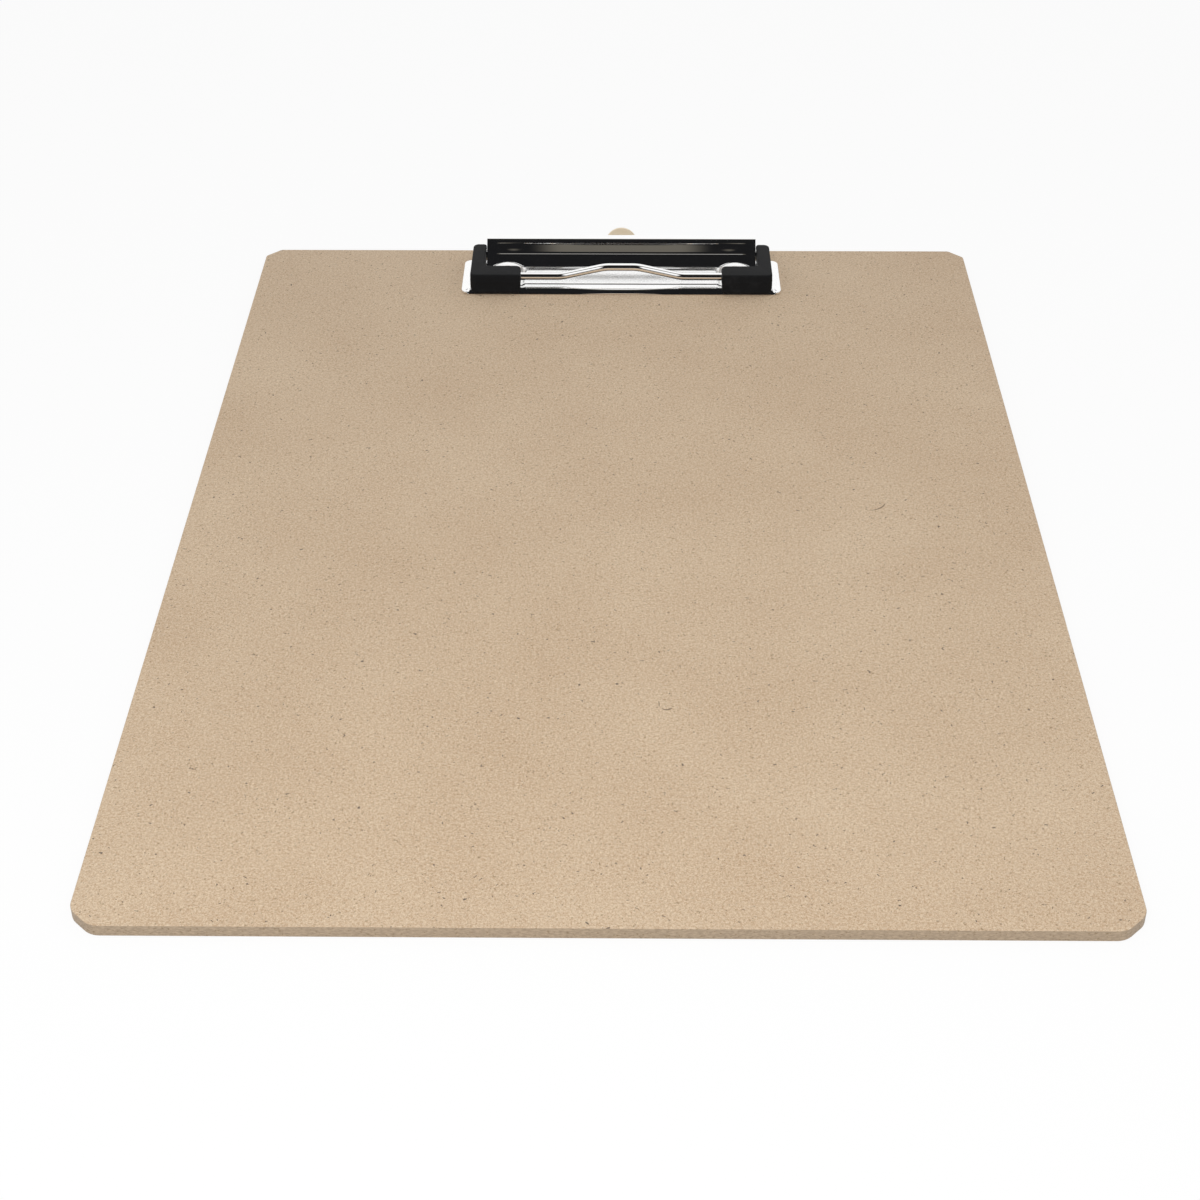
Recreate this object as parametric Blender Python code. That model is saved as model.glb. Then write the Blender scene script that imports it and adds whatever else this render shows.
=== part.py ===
"""Clipboard: hardboard panel with a low wire clip, a pull-out hanging strip and tubular rivets.

Metres, +Z up. X runs across the board and Y along it, with the clip at +Y. The origin is the centre
of the board's underside. Clip sections are drawn in (depth, height): depth is measured back from the
front edge of the base plate, height up from the board's upper face.
"""

import math

import bmesh
import bpy
from mathutils import Matrix, Vector

MM = 0.001

# Fits
SEAT_GAP = 0.2 * MM          # between faces that rest on each other
RUN_GAP = 0.3 * MM           # between faces that move past each other
HINGE_CLEARANCE = 0.1 * MM   # radial, bail wire in a bored ear
MOULD_CLEARANCE = 0.12 * MM  # radial, bail wire in a moulded grip

# Board
BOARD_WIDTH = 228.6 * MM
BOARD_LENGTH = 317.5 * MM
BOARD_THICKNESS = 3.0 * MM
BOARD_FRONT_CUT = 5.2 * MM    # corner cut off at 45 degrees, along each edge
BOARD_FRONT_EASE = 5.0 * MM   # radius at both ends of the cut
BOARD_REAR_CUT = 4.4 * MM
BOARD_REAR_EASE = 1.5 * MM
BOARD_EDGE_EASE = 0.2 * MM

# Base plate
CLIP_SETBACK = 31.6 * MM     # plate's front edge to the board's rear edge
CLIP_OFFSET = 2.3 * MM       # clip's middle to the right of the board's centre line
PLATE_END_OVERHANG = 7.4 * MM  # plate beyond each end of the lever
PLATE_DEPTH = 22.4 * MM
PLATE_SHEET = 0.7 * MM
PLATE_CORNER_RADIUS = 2.2 * MM
BEAD_END_MARGIN = 0.8 * MM   # flat end strip outside the bead
BEAD_END_BLEND = 1.8 * MM
BEAD_BACK_RUN = 2.6 * MM     # fall of the bead's back beside the raised field
CREASE_SETBACK = 3.3 * MM
CREASE_WIDTH = 0.8 * MM
CREASE_DEPTH = 0.12 * MM
FIELD_BLEND = 2.0 * MM       # step from the raised middle down to the riveted sides
FIELD_REAR_RADIUS = 1.0 * MM
EAR_RADIUS = 2.2 * MM
EAR_FOOT = 4.2 * MM
EAR_SIDE_GAP = 0.5 * MM      # base ear to lever ear
HINGE_INSET = 0.6 * MM       # hinge line ahead of the plate's rear edge

# Bail and its grips
WIRE_DIAMETER = 2.5 * MM
WIRE_BEND_RADIUS = 2.8 * MM
BAIL_FRONT_SETBACK = 4.8 * MM
HUMP_RISE = 3.2 * MM
HUMP_BASE_HALF = 18.9 * MM
HUMP_CREST_HALF = 5.2 * MM
HUMP_BEND_RADIUS = 15.0 * MM
CRANK_LENGTH = 3.6 * MM
CRANK_ANGLE = math.radians(60.0)
GRIP_SIDE_WIDTH = 4.3 * MM
GRIP_SIDE_GAP = 0.3 * MM
GRIP_FRONT_DEPTH = 7.0 * MM
GRIP_FRONT_LENGTH = 16.0 * MM
GRIP_TAIL = 1.9 * MM         # behind the hinge line
GRIP_CROWN = 2.1 * MM        # above the wire's centre line
GRIP_SKIRT = 0.4 * MM        # skirt's thickness in front of the bead
GRIP_SKIRT_FOOT = 1.1 * MM   # skirt's lower edge above the board
GRIP_CORNER_RADIUS = 1.8 * MM
GRIP_END_RADIUS = 1.0 * MM   # inner corners, in plan
GRIP_EDGE_RADIUS = 0.5 * MM

# Lever
LEVER_LENGTH = 86.8 * MM
LEVER_SHEET = 0.7 * MM
LEVER_ANGLE = math.radians(46.7)
LEVER_STRIP = 9.3 * MM       # slope length from the lower edge to the top bend
LEVER_FLANGE = 3.2 * MM
LEVER_LIP = 1.3 * MM
LEVER_BEND_RADIUS = 1.0 * MM
GROOVE_DEPTH = 0.6 * MM
GROOVE_LOW = 4.55 * MM       # up the slope from the lower edge: the tilted floor starts
GROOVE_FLOOR = 2.75 * MM     # tilted floor, up the slope
GROOVE_WALL = 0.45 * MM      # steep upper wall, up the slope
GROOVE_END_INSET = 10.9 * MM  # closed end of the groove from the lever's end
GROOVE_END_BLEND = 5.5 * MM
NOTCH_DEPTH = 1.4 * MM
NOTCH_CHORD = 9.0 * MM
LEVER_EAR_RADIUS = 2.2 * MM
LEVER_EAR_LOW = 1.2 * MM     # up the slope to the foot of the end ear
LEVER_EAR_HIGH = 8.2 * MM

# Springs
SPRING_WIRE = 0.7 * MM
SPRING_BORE_GAP = 0.15 * MM
SPRING_PITCH = 1.25 * MM
SPRING_TURNS = 8
SPRING_INSET = 9.0 * MM       # coil's outer end from the plate's ear, clear of the rivet heads
SPRING_HOOK_BEND = 0.9 * MM
SPRING_LEG_FOOT = 0.55 * MM  # height of the fixed leg's tip
CURL_POINTS = 10

# Rivets and washers
RIVET_INSET = 6.7 * MM       # from the lever's end, along X
RIVET_SETBACK = 14.2 * MM
RIVET_HEAD_RADIUS = 4.2 * MM
RIVET_HEAD_HEIGHT = 1.5 * MM
RIVET_SHANK_RADIUS = 1.9 * MM
RIVET_TAIL_RADIUS = 2.9 * MM
RIVET_TAIL_HEIGHT = 0.5 * MM
RIVET_BORE_RADIUS = 1.1 * MM
RIVET_BORE_DEPTH = 1.6 * MM
RIVET_CLEARANCE = 0.2 * MM
TAIL_RECESS = 0.05 * MM      # clinched tail above the board's underside
WASHER_RADIUS = 3.7 * MM
WASHER_HEIGHT = 0.5 * MM

# Hanging strip
HANGER_WIDTH = 10.0 * MM
HANGER_SHEET = 0.6 * MM
HANGER_OVERHANG = 2.6 * MM   # outer face of the lip behind the board's rear edge
HANGER_LIP_HEIGHT = 7.0 * MM # tip of the lip above the board's upper face
HANGER_BEND_RADIUS = 1.0 * MM
HANGER_HOLE_RADIUS = 3.8 * MM
HANGER_HOLE_STRETCH = 3.0 * MM  # between the centres of the hole's round ends
HANGER_HOLE_SETBACK = 8.0 * MM
HANGER_FRONT = 6.0 * MM      # front end, back from the plate's front edge
HANGER_FOOT_WIDTH = 15.0 * MM
HANGER_FOOT_LENGTH = 3.0 * MM

# Facets
ARC_STEPS = 6
ROUND_SIDES = 24
WIRE_SIDES = 4               # bevel resolution of the bail

# Derived lines of the clip, in (depth, height)
PLATE_FRONT_Y = BOARD_LENGTH / 2 - CLIP_SETBACK
PLATE_WIDTH = LEVER_LENGTH + 2 * PLATE_END_OVERHANG
RIVET_SPACING = LEVER_LENGTH - 2 * RIVET_INSET
FLAT_TOP = SEAT_GAP + PLATE_SHEET
FIELD_TOP = SEAT_GAP + HANGER_SHEET + SEAT_GAP + PLATE_SHEET
WIRE_RADIUS = WIRE_DIAMETER / 2
COIL_RADIUS = WIRE_RADIUS + SPRING_BORE_GAP + SPRING_WIRE / 2
COIL_OUTER = COIL_RADIUS + SPRING_WIRE / 2
HINGE_DEPTH = PLATE_DEPTH - HINGE_INSET
HINGE_HEIGHT = FIELD_TOP + RUN_GAP + COIL_OUTER
HINGE = Vector((HINGE_DEPTH, HINGE_HEIGHT))
HINGE_POINT = Vector((CLIP_OFFSET, PLATE_FRONT_Y + HINGE_DEPTH, BOARD_THICKNESS + HINGE_HEIGHT))
LEVER_HALF = LEVER_LENGTH / 2
LEVER_EAR_INNER = LEVER_HALF - LEVER_SHEET
BASE_EAR_OUTER = LEVER_EAR_INNER - EAR_SIDE_GAP
BASE_EAR_INNER = BASE_EAR_OUTER - PLATE_SHEET
FIELD_HALF = RIVET_SPACING / 2 - RIVET_HEAD_RADIUS - RUN_GAP - FIELD_BLEND
BAIL_HALF = LEVER_HALF + GRIP_SIDE_GAP + GRIP_SIDE_WIDTH / 2
COIL_START = BASE_EAR_INNER - SPRING_INSET - SPRING_WIRE / 2
COIL_END = COIL_START - SPRING_PITCH * SPRING_TURNS
CRANK_X = COIL_END - SPRING_WIRE / 2 - RUN_GAP - WIRE_RADIUS
SLOPE = Vector((math.cos(LEVER_ANGLE), math.sin(LEVER_ANGLE)))
SLOPE_BACK = Vector((math.sin(LEVER_ANGLE), -math.cos(LEVER_ANGLE)))


def lever_origin():
    """Lower front corner of the lever's slope, clear of the coil behind it and the plate below it."""
    reach = COIL_OUTER + RUN_GAP + GROOVE_DEPTH + LEVER_SHEET
    height = FIELD_TOP + RUN_GAP + LEVER_SHEET * math.cos(LEVER_ANGLE)
    rise = (height - HINGE_HEIGHT) * math.cos(LEVER_ANGLE)
    return Vector((HINGE_DEPTH + (rise - reach) / math.sin(LEVER_ANGLE), height))


LEVER_ORIGIN = lever_origin()


def place(x, section):
    """World point of a clip section point."""
    return Vector((CLIP_OFFSET + x, PLATE_FRONT_Y + section[0], BOARD_THICKNESS + section[1]))


def clear_scene():
    for obj in list(bpy.data.objects):
        bpy.data.objects.remove(obj, do_unlink=True)


def make_material(name, color, roughness, metallic):
    material = bpy.data.materials.new(name)
    material.use_nodes = True
    shader = material.node_tree.nodes["Principled BSDF"]
    shader.inputs["Base Color"].default_value = (*color, 1.0)
    shader.inputs["Roughness"].default_value = roughness
    shader.inputs["Metallic"].default_value = metallic
    return material


def finish(name, bm, material=None, sharp=35.0, closed=True):
    """Object from a bmesh, shaded smooth up to the sharp angle in degrees. An open sheet keeps its winding."""
    if closed:
        bmesh.ops.recalc_face_normals(bm, faces=bm.faces)
    mesh = bpy.data.meshes.new(name)
    bm.to_mesh(mesh)
    bm.free()
    mesh.shade_smooth()
    mesh.set_sharp_from_angle(angle=math.radians(sharp))
    obj = bpy.data.objects.new(name, mesh)
    bpy.context.collection.objects.link(obj)
    if material:
        mesh.materials.append(material)
    else:
        obj.hide_render = True
        obj.display_type = 'WIRE'
    return obj


def thicken(sheet, thickness):
    """Sheet metal behind a drawn front face."""
    modifier = sheet.modifiers.new("sheet", 'SOLIDIFY')
    modifier.thickness = thickness
    modifier.offset = -1.0
    modifier.use_even_offset = True


def combine(obj, tool, operation):
    modifier = obj.modifiers.new(f"{operation.lower()}_{tool.name}", 'BOOLEAN')
    modifier.operation = operation
    modifier.solver = 'EXACT'
    modifier.object = tool


def prism(name, outline, start, end, material=None):
    """Solid between two placements of one closed outline."""
    bm = bmesh.new()
    low = [bm.verts.new(start(point)) for point in outline]
    high = [bm.verts.new(end(point)) for point in outline]
    bm.faces.new(low[::-1])
    bm.faces.new(high)
    for i in range(len(outline)):
        j = (i + 1) % len(outline)
        bm.faces.new((low[i], low[j], high[j], high[i]))
    return finish(name, bm, material)


def section_prism(name, outline, x_low, x_high, material=None):
    """Clip section carried along X."""
    return prism(name, outline, lambda p: place(x_low, p), lambda p: place(x_high, p), material)


def plan_prism(name, outline, z_low, z_high, material=None, middle=CLIP_OFFSET):
    """Plan outline carried along Z, its X counted from the clip's middle."""
    def at(z):
        return lambda p: Vector((middle + p[0], p[1], z))
    return prism(name, outline, at(z_low), at(z_high), material)


def arc(centre, radius, start, end, steps=ARC_STEPS):
    """Points of an arc, angles in radians."""
    angles = [start + (end - start) * i / steps for i in range(steps + 1)]
    return [Vector((centre[0] + radius * math.cos(a), centre[1] + radius * math.sin(a))) for a in angles]


def fillet(points, radii, steps=ARC_STEPS):
    """Open path with each inner corner turned into an arc of its own radius."""
    path = [points[0].copy()]
    for i in range(1, len(points) - 1):
        back = (points[i - 1] - points[i]).normalized()
        ahead = (points[i + 1] - points[i]).normalized()
        half = back.angle(ahead) / 2
        radius = radii[i - 1]
        centre = points[i] + (back + ahead).normalized() * (radius / math.sin(half))
        first = points[i] + back * (radius / math.tan(half)) - centre
        last = points[i] + ahead * (radius / math.tan(half)) - centre
        turn = first.angle(last)
        for step in range(steps + 1):
            share = step / steps
            mixed = first * math.sin((1 - share) * turn) + last * math.sin(share * turn)
            path.append(centre + mixed / math.sin(turn))
    path.append(points[-1].copy())
    return path


def rounded_outline(corners):
    """Closed plan outline from (x, y, radius) corners in order."""
    outline = []
    for i, (x, y, radius) in enumerate(corners):
        here = Vector((x, y))
        before = Vector(corners[i - 1][:2])
        after = Vector(corners[(i + 1) % len(corners)][:2])
        if radius == 0.0:
            outline.append(here)
            continue
        ends = [here + (other - here).normalized() * radius * 2 for other in (before, after)]
        outline.extend(fillet([ends[0], here, ends[1]], [radius])[1:-1])
    return outline


def sheet_section(path, thickness):
    """Closed outline of a sheet: the path is its front face, the back lies on the path's right."""
    back = []
    for i, point in enumerate(path):
        before = (point - path[i - 1]).normalized() if i else None
        after = (path[i + 1] - point).normalized() if i + 1 < len(path) else None
        normals = [Vector((way.y, -way.x)) for way in (before, after) if way is not None]
        middle = sum(normals, Vector((0.0, 0.0))).normalized()
        back.append(point + middle * (thickness / middle.dot(normals[0])))
    return list(path) + back[::-1]


def tube_mesh(name, points, radius, resolution, material=None):
    """Round wire along 3-D points, made as a bevelled curve with filled caps."""
    curve = bpy.data.curves.new(name, 'CURVE')
    curve.dimensions = '3D'
    curve.bevel_depth = radius
    curve.bevel_resolution = resolution
    curve.use_fill_caps = True
    spline = curve.splines.new('POLY')
    spline.points.add(len(points) - 1)
    for target, point in zip(spline.points, points):
        target.co = (*point, 1.0)
    guide = bpy.data.objects.new(f"{name}_guide", curve)
    bpy.context.collection.objects.link(guide)
    mesh = bpy.data.meshes.new_from_object(guide.evaluated_get(bpy.context.evaluated_depsgraph_get()))
    bpy.data.objects.remove(guide, do_unlink=True)
    bm = bmesh.new()
    bm.from_mesh(mesh)
    bpy.data.meshes.remove(mesh)
    bmesh.ops.remove_doubles(bm, verts=bm.verts, dist=0.001 * MM)
    return finish(name, bm, material, sharp=50.0)


def lathe(name, profile, centre, material=None):
    """Turned solid: profile of (radius, height) points from axis to axis, spun about +Z."""
    bm = bmesh.new()
    verts = [bm.verts.new((centre[0] + r, centre[1], centre[2] + z)) for r, z in profile]
    edges = [bm.edges.new(pair) for pair in zip(verts, verts[1:])]
    bmesh.ops.spin(bm, geom=verts + edges, cent=centre, axis=(0, 0, 1), angle=math.tau,
                   steps=ROUND_SIDES, use_merge=True)
    bmesh.ops.remove_doubles(bm, verts=bm.verts, dist=0.001 * MM)
    return finish(name, bm, material)


def hull_ear(name, section_points, x_low, x_high):
    """Flat ear: the hull of section points, between two X planes."""
    bm = bmesh.new()
    for x in (x_low, x_high):
        for point in section_points:
            bm.verts.new(place(x, point))
    hull = bmesh.ops.convex_hull(bm, input=bm.verts)
    bmesh.ops.delete(bm, geom=list(set(hull["geom_interior"] + hull["geom_unused"])), context='VERTS')
    bmesh.ops.dissolve_limit(bm, angle_limit=math.radians(1.0), verts=bm.verts, edges=bm.edges)
    return finish(name, bm)


def circle(centre, radius):
    return arc(centre, radius, 0.0, math.tau * (ROUND_SIDES - 1) / ROUND_SIDES, ROUND_SIDES - 1)


def hinge_bore(name):
    return section_prism(name, circle(HINGE, WIRE_RADIUS + HINGE_CLEARANCE), -BAIL_HALF, BAIL_HALF)


def make_board(material):
    """Panel with eased cut-off corners, eased edges and two stepped rivet holes."""
    half_w = BOARD_WIDTH / 2
    half_l = BOARD_LENGTH / 2
    front, rear = BOARD_FRONT_CUT, BOARD_REAR_CUT
    right = [(half_w - front, -half_l, BOARD_FRONT_EASE), (half_w, front - half_l, BOARD_FRONT_EASE),
             (half_w, half_l - rear, BOARD_REAR_EASE), (half_w - rear, half_l, BOARD_REAR_EASE)]
    outline = rounded_outline(right + [(-x, y, radius) for x, y, radius in right[::-1]])
    board = plan_prism("board", outline, 0.0, BOARD_THICKNESS, material, 0.0)
    ease = board.modifiers.new("eased_edges", 'BEVEL')
    ease.width = BOARD_EDGE_EASE
    ease.segments = 1
    ease.limit_method = 'ANGLE'
    ease.angle_limit = math.radians(60.0)
    recess = tail_stack()["ceiling"]
    hole = RIVET_SHANK_RADIUS + RIVET_CLEARANCE
    wide = WASHER_RADIUS + RIVET_CLEARANCE
    past = BOARD_THICKNESS
    profile = [(0, BOARD_THICKNESS + past), (hole, BOARD_THICKNESS + past), (hole, recess),
               (wide, recess), (wide, -past), (0, -past)]
    for side, sign in (("left", -1), ("right", 1)):
        combine(board, lathe(f"rivet_hole_{side}", profile, rivet_centre(sign)), 'DIFFERENCE')
    return board


def rivet_centre(sign):
    return Vector((CLIP_OFFSET + sign * RIVET_SPACING / 2, PLATE_FRONT_Y + RIVET_SETBACK, 0.0))


def tail_stack():
    """Heights above the board's underside of the clinched end: tail, washer and recess ceiling."""
    tail_low = TAIL_RECESS
    tail_high = tail_low + RIVET_TAIL_HEIGHT
    washer_low = tail_high + SEAT_GAP
    washer_high = washer_low + WASHER_HEIGHT
    return {"tail_low": tail_low, "tail_high": tail_high, "washer_low": washer_low,
            "washer_high": washer_high, "ceiling": washer_high + SEAT_GAP}


def make_rivets(material, washer_material):
    """Domed tubular rivets, clinched over washers in the board's recesses."""
    stack = tail_stack()
    seat = BOARD_THICKNESS + FLAT_TOP + SEAT_GAP
    dome_radius = (RIVET_HEAD_RADIUS ** 2 + RIVET_HEAD_HEIGHT ** 2) / (2 * RIVET_HEAD_HEIGHT)
    spread = math.asin(RIVET_HEAD_RADIUS / dome_radius)
    centre = (0.0, seat + RIVET_HEAD_HEIGHT - dome_radius)
    dome = arc(centre, dome_radius, math.pi / 2, math.pi / 2 - spread)
    profile = [(0.0, dome[0].y)] + [tuple(p) for p in dome[1:]]
    profile += [(RIVET_SHANK_RADIUS, seat), (RIVET_SHANK_RADIUS, stack["tail_high"])]
    rim = RIVET_TAIL_RADIUS - RIVET_TAIL_HEIGHT / 2
    middle = (stack["tail_low"] + stack["tail_high"]) / 2
    profile += [tuple(p) for p in arc((rim, middle), RIVET_TAIL_HEIGHT / 2, math.pi / 2, -math.pi / 2)]
    profile += [(RIVET_BORE_RADIUS, stack["tail_low"]),
                (RIVET_BORE_RADIUS, stack["tail_low"] + RIVET_BORE_DEPTH),
                (0.0, stack["tail_low"] + RIVET_BORE_DEPTH)]
    hole = RIVET_SHANK_RADIUS + RIVET_CLEARANCE
    for side, sign in (("left", -1), ("right", 1)):
        lathe(f"rivet_{side}", profile, rivet_centre(sign), material)
        washer = plan_prism(f"rivet_washer_{side}", washer_outline(sign, WASHER_RADIUS),
                            stack["washer_low"], stack["washer_high"], washer_material)
        bore = plan_prism(f"washer_bore_{side}", washer_outline(sign, hole), -BOARD_THICKNESS,
                          2 * BOARD_THICKNESS)
        combine(washer, bore, 'DIFFERENCE')


def washer_outline(sign, radius):
    return circle((sign * RIVET_SPACING / 2, PLATE_FRONT_Y + RIVET_SETBACK), radius)


def smooth(share):
    share = min(max(share, 0.0), 1.0)
    return share * share * (3.0 - 2.0 * share)


def plate_sections():
    """Three front-to-rear sections of the plate's upper face, with matching points: the raised middle,
    the riveted sides behind the bead, and the flat end strips."""
    roll = FIELD_TOP - SEAT_GAP
    front = arc((roll, SEAT_GAP), roll, math.pi, math.pi / 2)
    crease = [(CREASE_SETBACK + CREASE_WIDTH * share, FIELD_TOP - CREASE_DEPTH * dip)
              for share, dip in ((-0.5, 0.0), (0.0, 1.0), (0.5, 0.0))]
    middle = [tuple(p) for p in front] + crease
    bead_back = roll + BEAD_BACK_RUN
    side = [tuple(p) for p in front]
    for depth, _ in crease:
        fall = smooth((depth - roll) / (bead_back - roll))
        side.append((depth, FIELD_TOP + (FLAT_TOP - FIELD_TOP) * fall))
    middle.append((bead_back + CREASE_WIDTH, FIELD_TOP))
    side.append((bead_back + CREASE_WIDTH, FLAT_TOP))
    rear = PLATE_DEPTH - FIELD_REAR_RADIUS
    turn = arc((rear, FIELD_TOP - FIELD_REAR_RADIUS), FIELD_REAR_RADIUS, math.pi / 2, 0.0)
    tail = [tuple(p) for p in turn] + [(PLATE_DEPTH, SEAT_GAP)]
    middle += tail
    side += [(rear + FIELD_REAR_RADIUS * i / (len(tail) - 1), FLAT_TOP) for i in range(len(tail))]
    steps = len(front) - 1
    end = [(roll * i / steps, FLAT_TOP) for i in range(steps + 1)]
    end += [(depth, FLAT_TOP) for depth, _ in side[steps + 1:]]
    return middle, side, end


def spaced(stations):
    """Stations in order, without any that nearly coincide."""
    kept = []
    for x in sorted(stations):
        if not kept or x - kept[-1] > 0.05 * MM:
            kept.append(x)
    return kept


def plate_stations():
    """X stations of the right half: plain spans, then the field's step, the bead's end and the corner."""
    field = FIELD_HALF
    bead = PLATE_WIDTH / 2 - BEAD_END_MARGIN - BEAD_END_BLEND
    corner = PLATE_WIDTH / 2 - PLATE_CORNER_RADIUS
    stations = [field * i / 3 for i in range(4)]
    stations += [field + FIELD_BLEND * i / 4 for i in range(1, 5)]
    stations += [bead + BEAD_END_BLEND * i / 4 for i in range(5)]
    turn = [math.pi / 2 * i / ARC_STEPS for i in range(ARC_STEPS + 1)]
    stations += [corner + PLATE_CORNER_RADIUS * math.sin(a) for a in turn]
    return spaced(stations)


def make_base_plate(material):
    """Pressed sheet: rolled front bead, raised field, flat ends, two hinge ears, holes and a slot."""
    middle, side, end = plate_sections()
    right = plate_stations()
    stations = [-x for x in right[:0:-1]] + right
    field = FIELD_HALF
    bead = PLATE_WIDTH / 2 - BEAD_END_MARGIN - BEAD_END_BLEND
    corner = PLATE_WIDTH / 2 - PLATE_CORNER_RADIUS
    bm = bmesh.new()
    rows = []
    for x in stations:
        to_side = smooth((abs(x) - field) / FIELD_BLEND)
        to_end = smooth((abs(x) - bead) / BEAD_END_BLEND)
        past = min(max(abs(x) - corner, 0.0), PLATE_CORNER_RADIUS)
        inset = PLATE_CORNER_RADIUS - math.sqrt(PLATE_CORNER_RADIUS ** 2 - past ** 2)
        row = []
        for m, s, e in zip(middle, side, end):
            inner = Vector(m).lerp(Vector(s), to_side)
            point = inner.lerp(Vector(e), to_end)
            depth = inset + point.x * (PLATE_DEPTH - 2 * inset) / PLATE_DEPTH
            row.append(bm.verts.new(place(x, (depth, point.y))))
        rows.append(row)
    for low, high in zip(rows, rows[1:]):
        for i in range(len(middle) - 1):
            bm.faces.new((low[i], high[i], high[i + 1], low[i + 1]))
    plate = finish("base_plate", bm, material, closed=False)
    thicken(plate, PLATE_SHEET)
    foot = [Vector((PLATE_DEPTH - EAR_FOOT - SEAT_GAP, SEAT_GAP + PLATE_SHEET / 2)),
            Vector((PLATE_DEPTH - SEAT_GAP, SEAT_GAP + PLATE_SHEET / 2))]
    for name, sign in (("left", -1), ("right", 1)):
        spans = sorted((sign * BASE_EAR_INNER, sign * BASE_EAR_OUTER))
        combine(plate, hull_ear(f"plate_ear_{name}", foot + circle(HINGE, EAR_RADIUS), *spans), 'UNION')
    combine(plate, hinge_bore("plate_ear_bore"), 'DIFFERENCE')
    for name, sign in (("left", -1), ("right", 1)):
        hole = plan_prism(f"plate_rivet_hole_{name}",
                          washer_outline(sign, RIVET_SHANK_RADIUS + RIVET_CLEARANCE),
                          0.0, BOARD_THICKNESS + HINGE_HEIGHT)
        combine(plate, hole, 'DIFFERENCE')
    slot_half = HANGER_WIDTH / 2 + RUN_GAP
    slot_top = SEAT_GAP + HANGER_SHEET + SEAT_GAP
    slot_front = PLATE_DEPTH - 2 * PLATE_SHEET - FIELD_REAR_RADIUS
    slot = [(slot_front, -slot_top), (PLATE_DEPTH + slot_top, -slot_top),
            (PLATE_DEPTH + slot_top, slot_top), (slot_front, slot_top)]
    combine(plate, section_prism("hanger_slot", slot, -slot_half, slot_half), 'DIFFERENCE')
    return plate


def slope_point(along, back=0.0):
    """Point on the lever's slope: up from its lower front corner, and back through its sheet."""
    return LEVER_ORIGIN + SLOPE * along + SLOPE_BACK * back


def lever_path(depth):
    """Front face of the lever with a groove of the given depth: slope, tilted groove floor and its steep
    upper wall, top bend, flange and turned-down lip."""
    high = GROOVE_LOW + GROOVE_FLOOR
    slope = [slope_point(0.0), slope_point(GROOVE_LOW / 2), slope_point(GROOVE_LOW)]
    slope += [slope_point(GROOVE_LOW + GROOVE_FLOOR * i / 3, depth * i / 3) for i in range(1, 4)]
    slope += [slope_point(high + GROOVE_WALL / 2, depth / 2), slope_point(high + GROOVE_WALL)]
    top = slope_point(LEVER_STRIP)
    rear = top + Vector((LEVER_FLANGE, 0.0))
    drop = rear + Vector((0.0, -LEVER_LIP))
    crown = fillet([slope[-1], top, rear, drop], [LEVER_BEND_RADIUS, LEVER_BEND_RADIUS])
    return slope + crown[1:]


def lever_stations():
    """X stations of the right half: a plain span, the groove's closed end and the lever's end."""
    stop = LEVER_HALF - GROOVE_END_INSET
    stations = [0.0, stop / 2 - GROOVE_END_BLEND / 2]
    stations += [stop - GROOVE_END_BLEND * (1 - i / 8) for i in range(9)]
    return spaced(stations + [LEVER_HALF])


def make_lever(material):
    """Pressed strip with a closed groove, end ears on the bail and two shallow notches over the rivets."""
    right = lever_stations()
    stations = [-x for x in right[:0:-1]] + right
    stop = LEVER_HALF - GROOVE_END_INSET
    bm = bmesh.new()
    rows = []
    for x in stations:
        depth = GROOVE_DEPTH * smooth((stop - abs(x)) / GROOVE_END_BLEND)
        rows.append([bm.verts.new(place(x, point)) for point in lever_path(depth)])
    for low, high in zip(rows, rows[1:]):
        for i in range(len(low) - 1):
            bm.faces.new((low[i], high[i], high[i + 1], low[i + 1]))
    lever = finish("lever", bm, material, closed=False)
    thicken(lever, LEVER_SHEET)
    skin = LEVER_SHEET / 2
    stem = [slope_point(LEVER_EAR_LOW, skin), slope_point(LEVER_EAR_HIGH, skin)]
    outline = stem + circle(HINGE, LEVER_EAR_RADIUS)
    for name, sign in (("left", -1), ("right", 1)):
        spans = sorted((sign * LEVER_EAR_INNER, sign * (LEVER_HALF - SEAT_GAP / 2)))
        combine(lever, hull_ear(f"lever_ear_{name}", outline, *spans), 'UNION')
    combine(lever, hinge_bore("lever_ear_bore"), 'DIFFERENCE')
    notch_radius = ((NOTCH_CHORD / 2) ** 2 + NOTCH_DEPTH ** 2) / (2 * NOTCH_DEPTH)
    for name, sign in (("left", -1), ("right", 1)):
        bm = bmesh.new()
        centre = place(sign * RIVET_SPACING / 2, slope_point(NOTCH_DEPTH - notch_radius))
        turn = Matrix.Rotation(math.pi / 2 + (math.pi / 2 - LEVER_ANGLE) + math.pi / 2, 4, 'X')
        bmesh.ops.create_cone(bm, cap_ends=True, segments=4 * ROUND_SIDES, radius1=notch_radius,
                              radius2=notch_radius, depth=4 * LEVER_SHEET,
                              matrix=Matrix.Translation(centre) @ turn)
        combine(lever, finish(f"lever_notch_{name}", bm), 'DIFFERENCE')
    return lever


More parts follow.
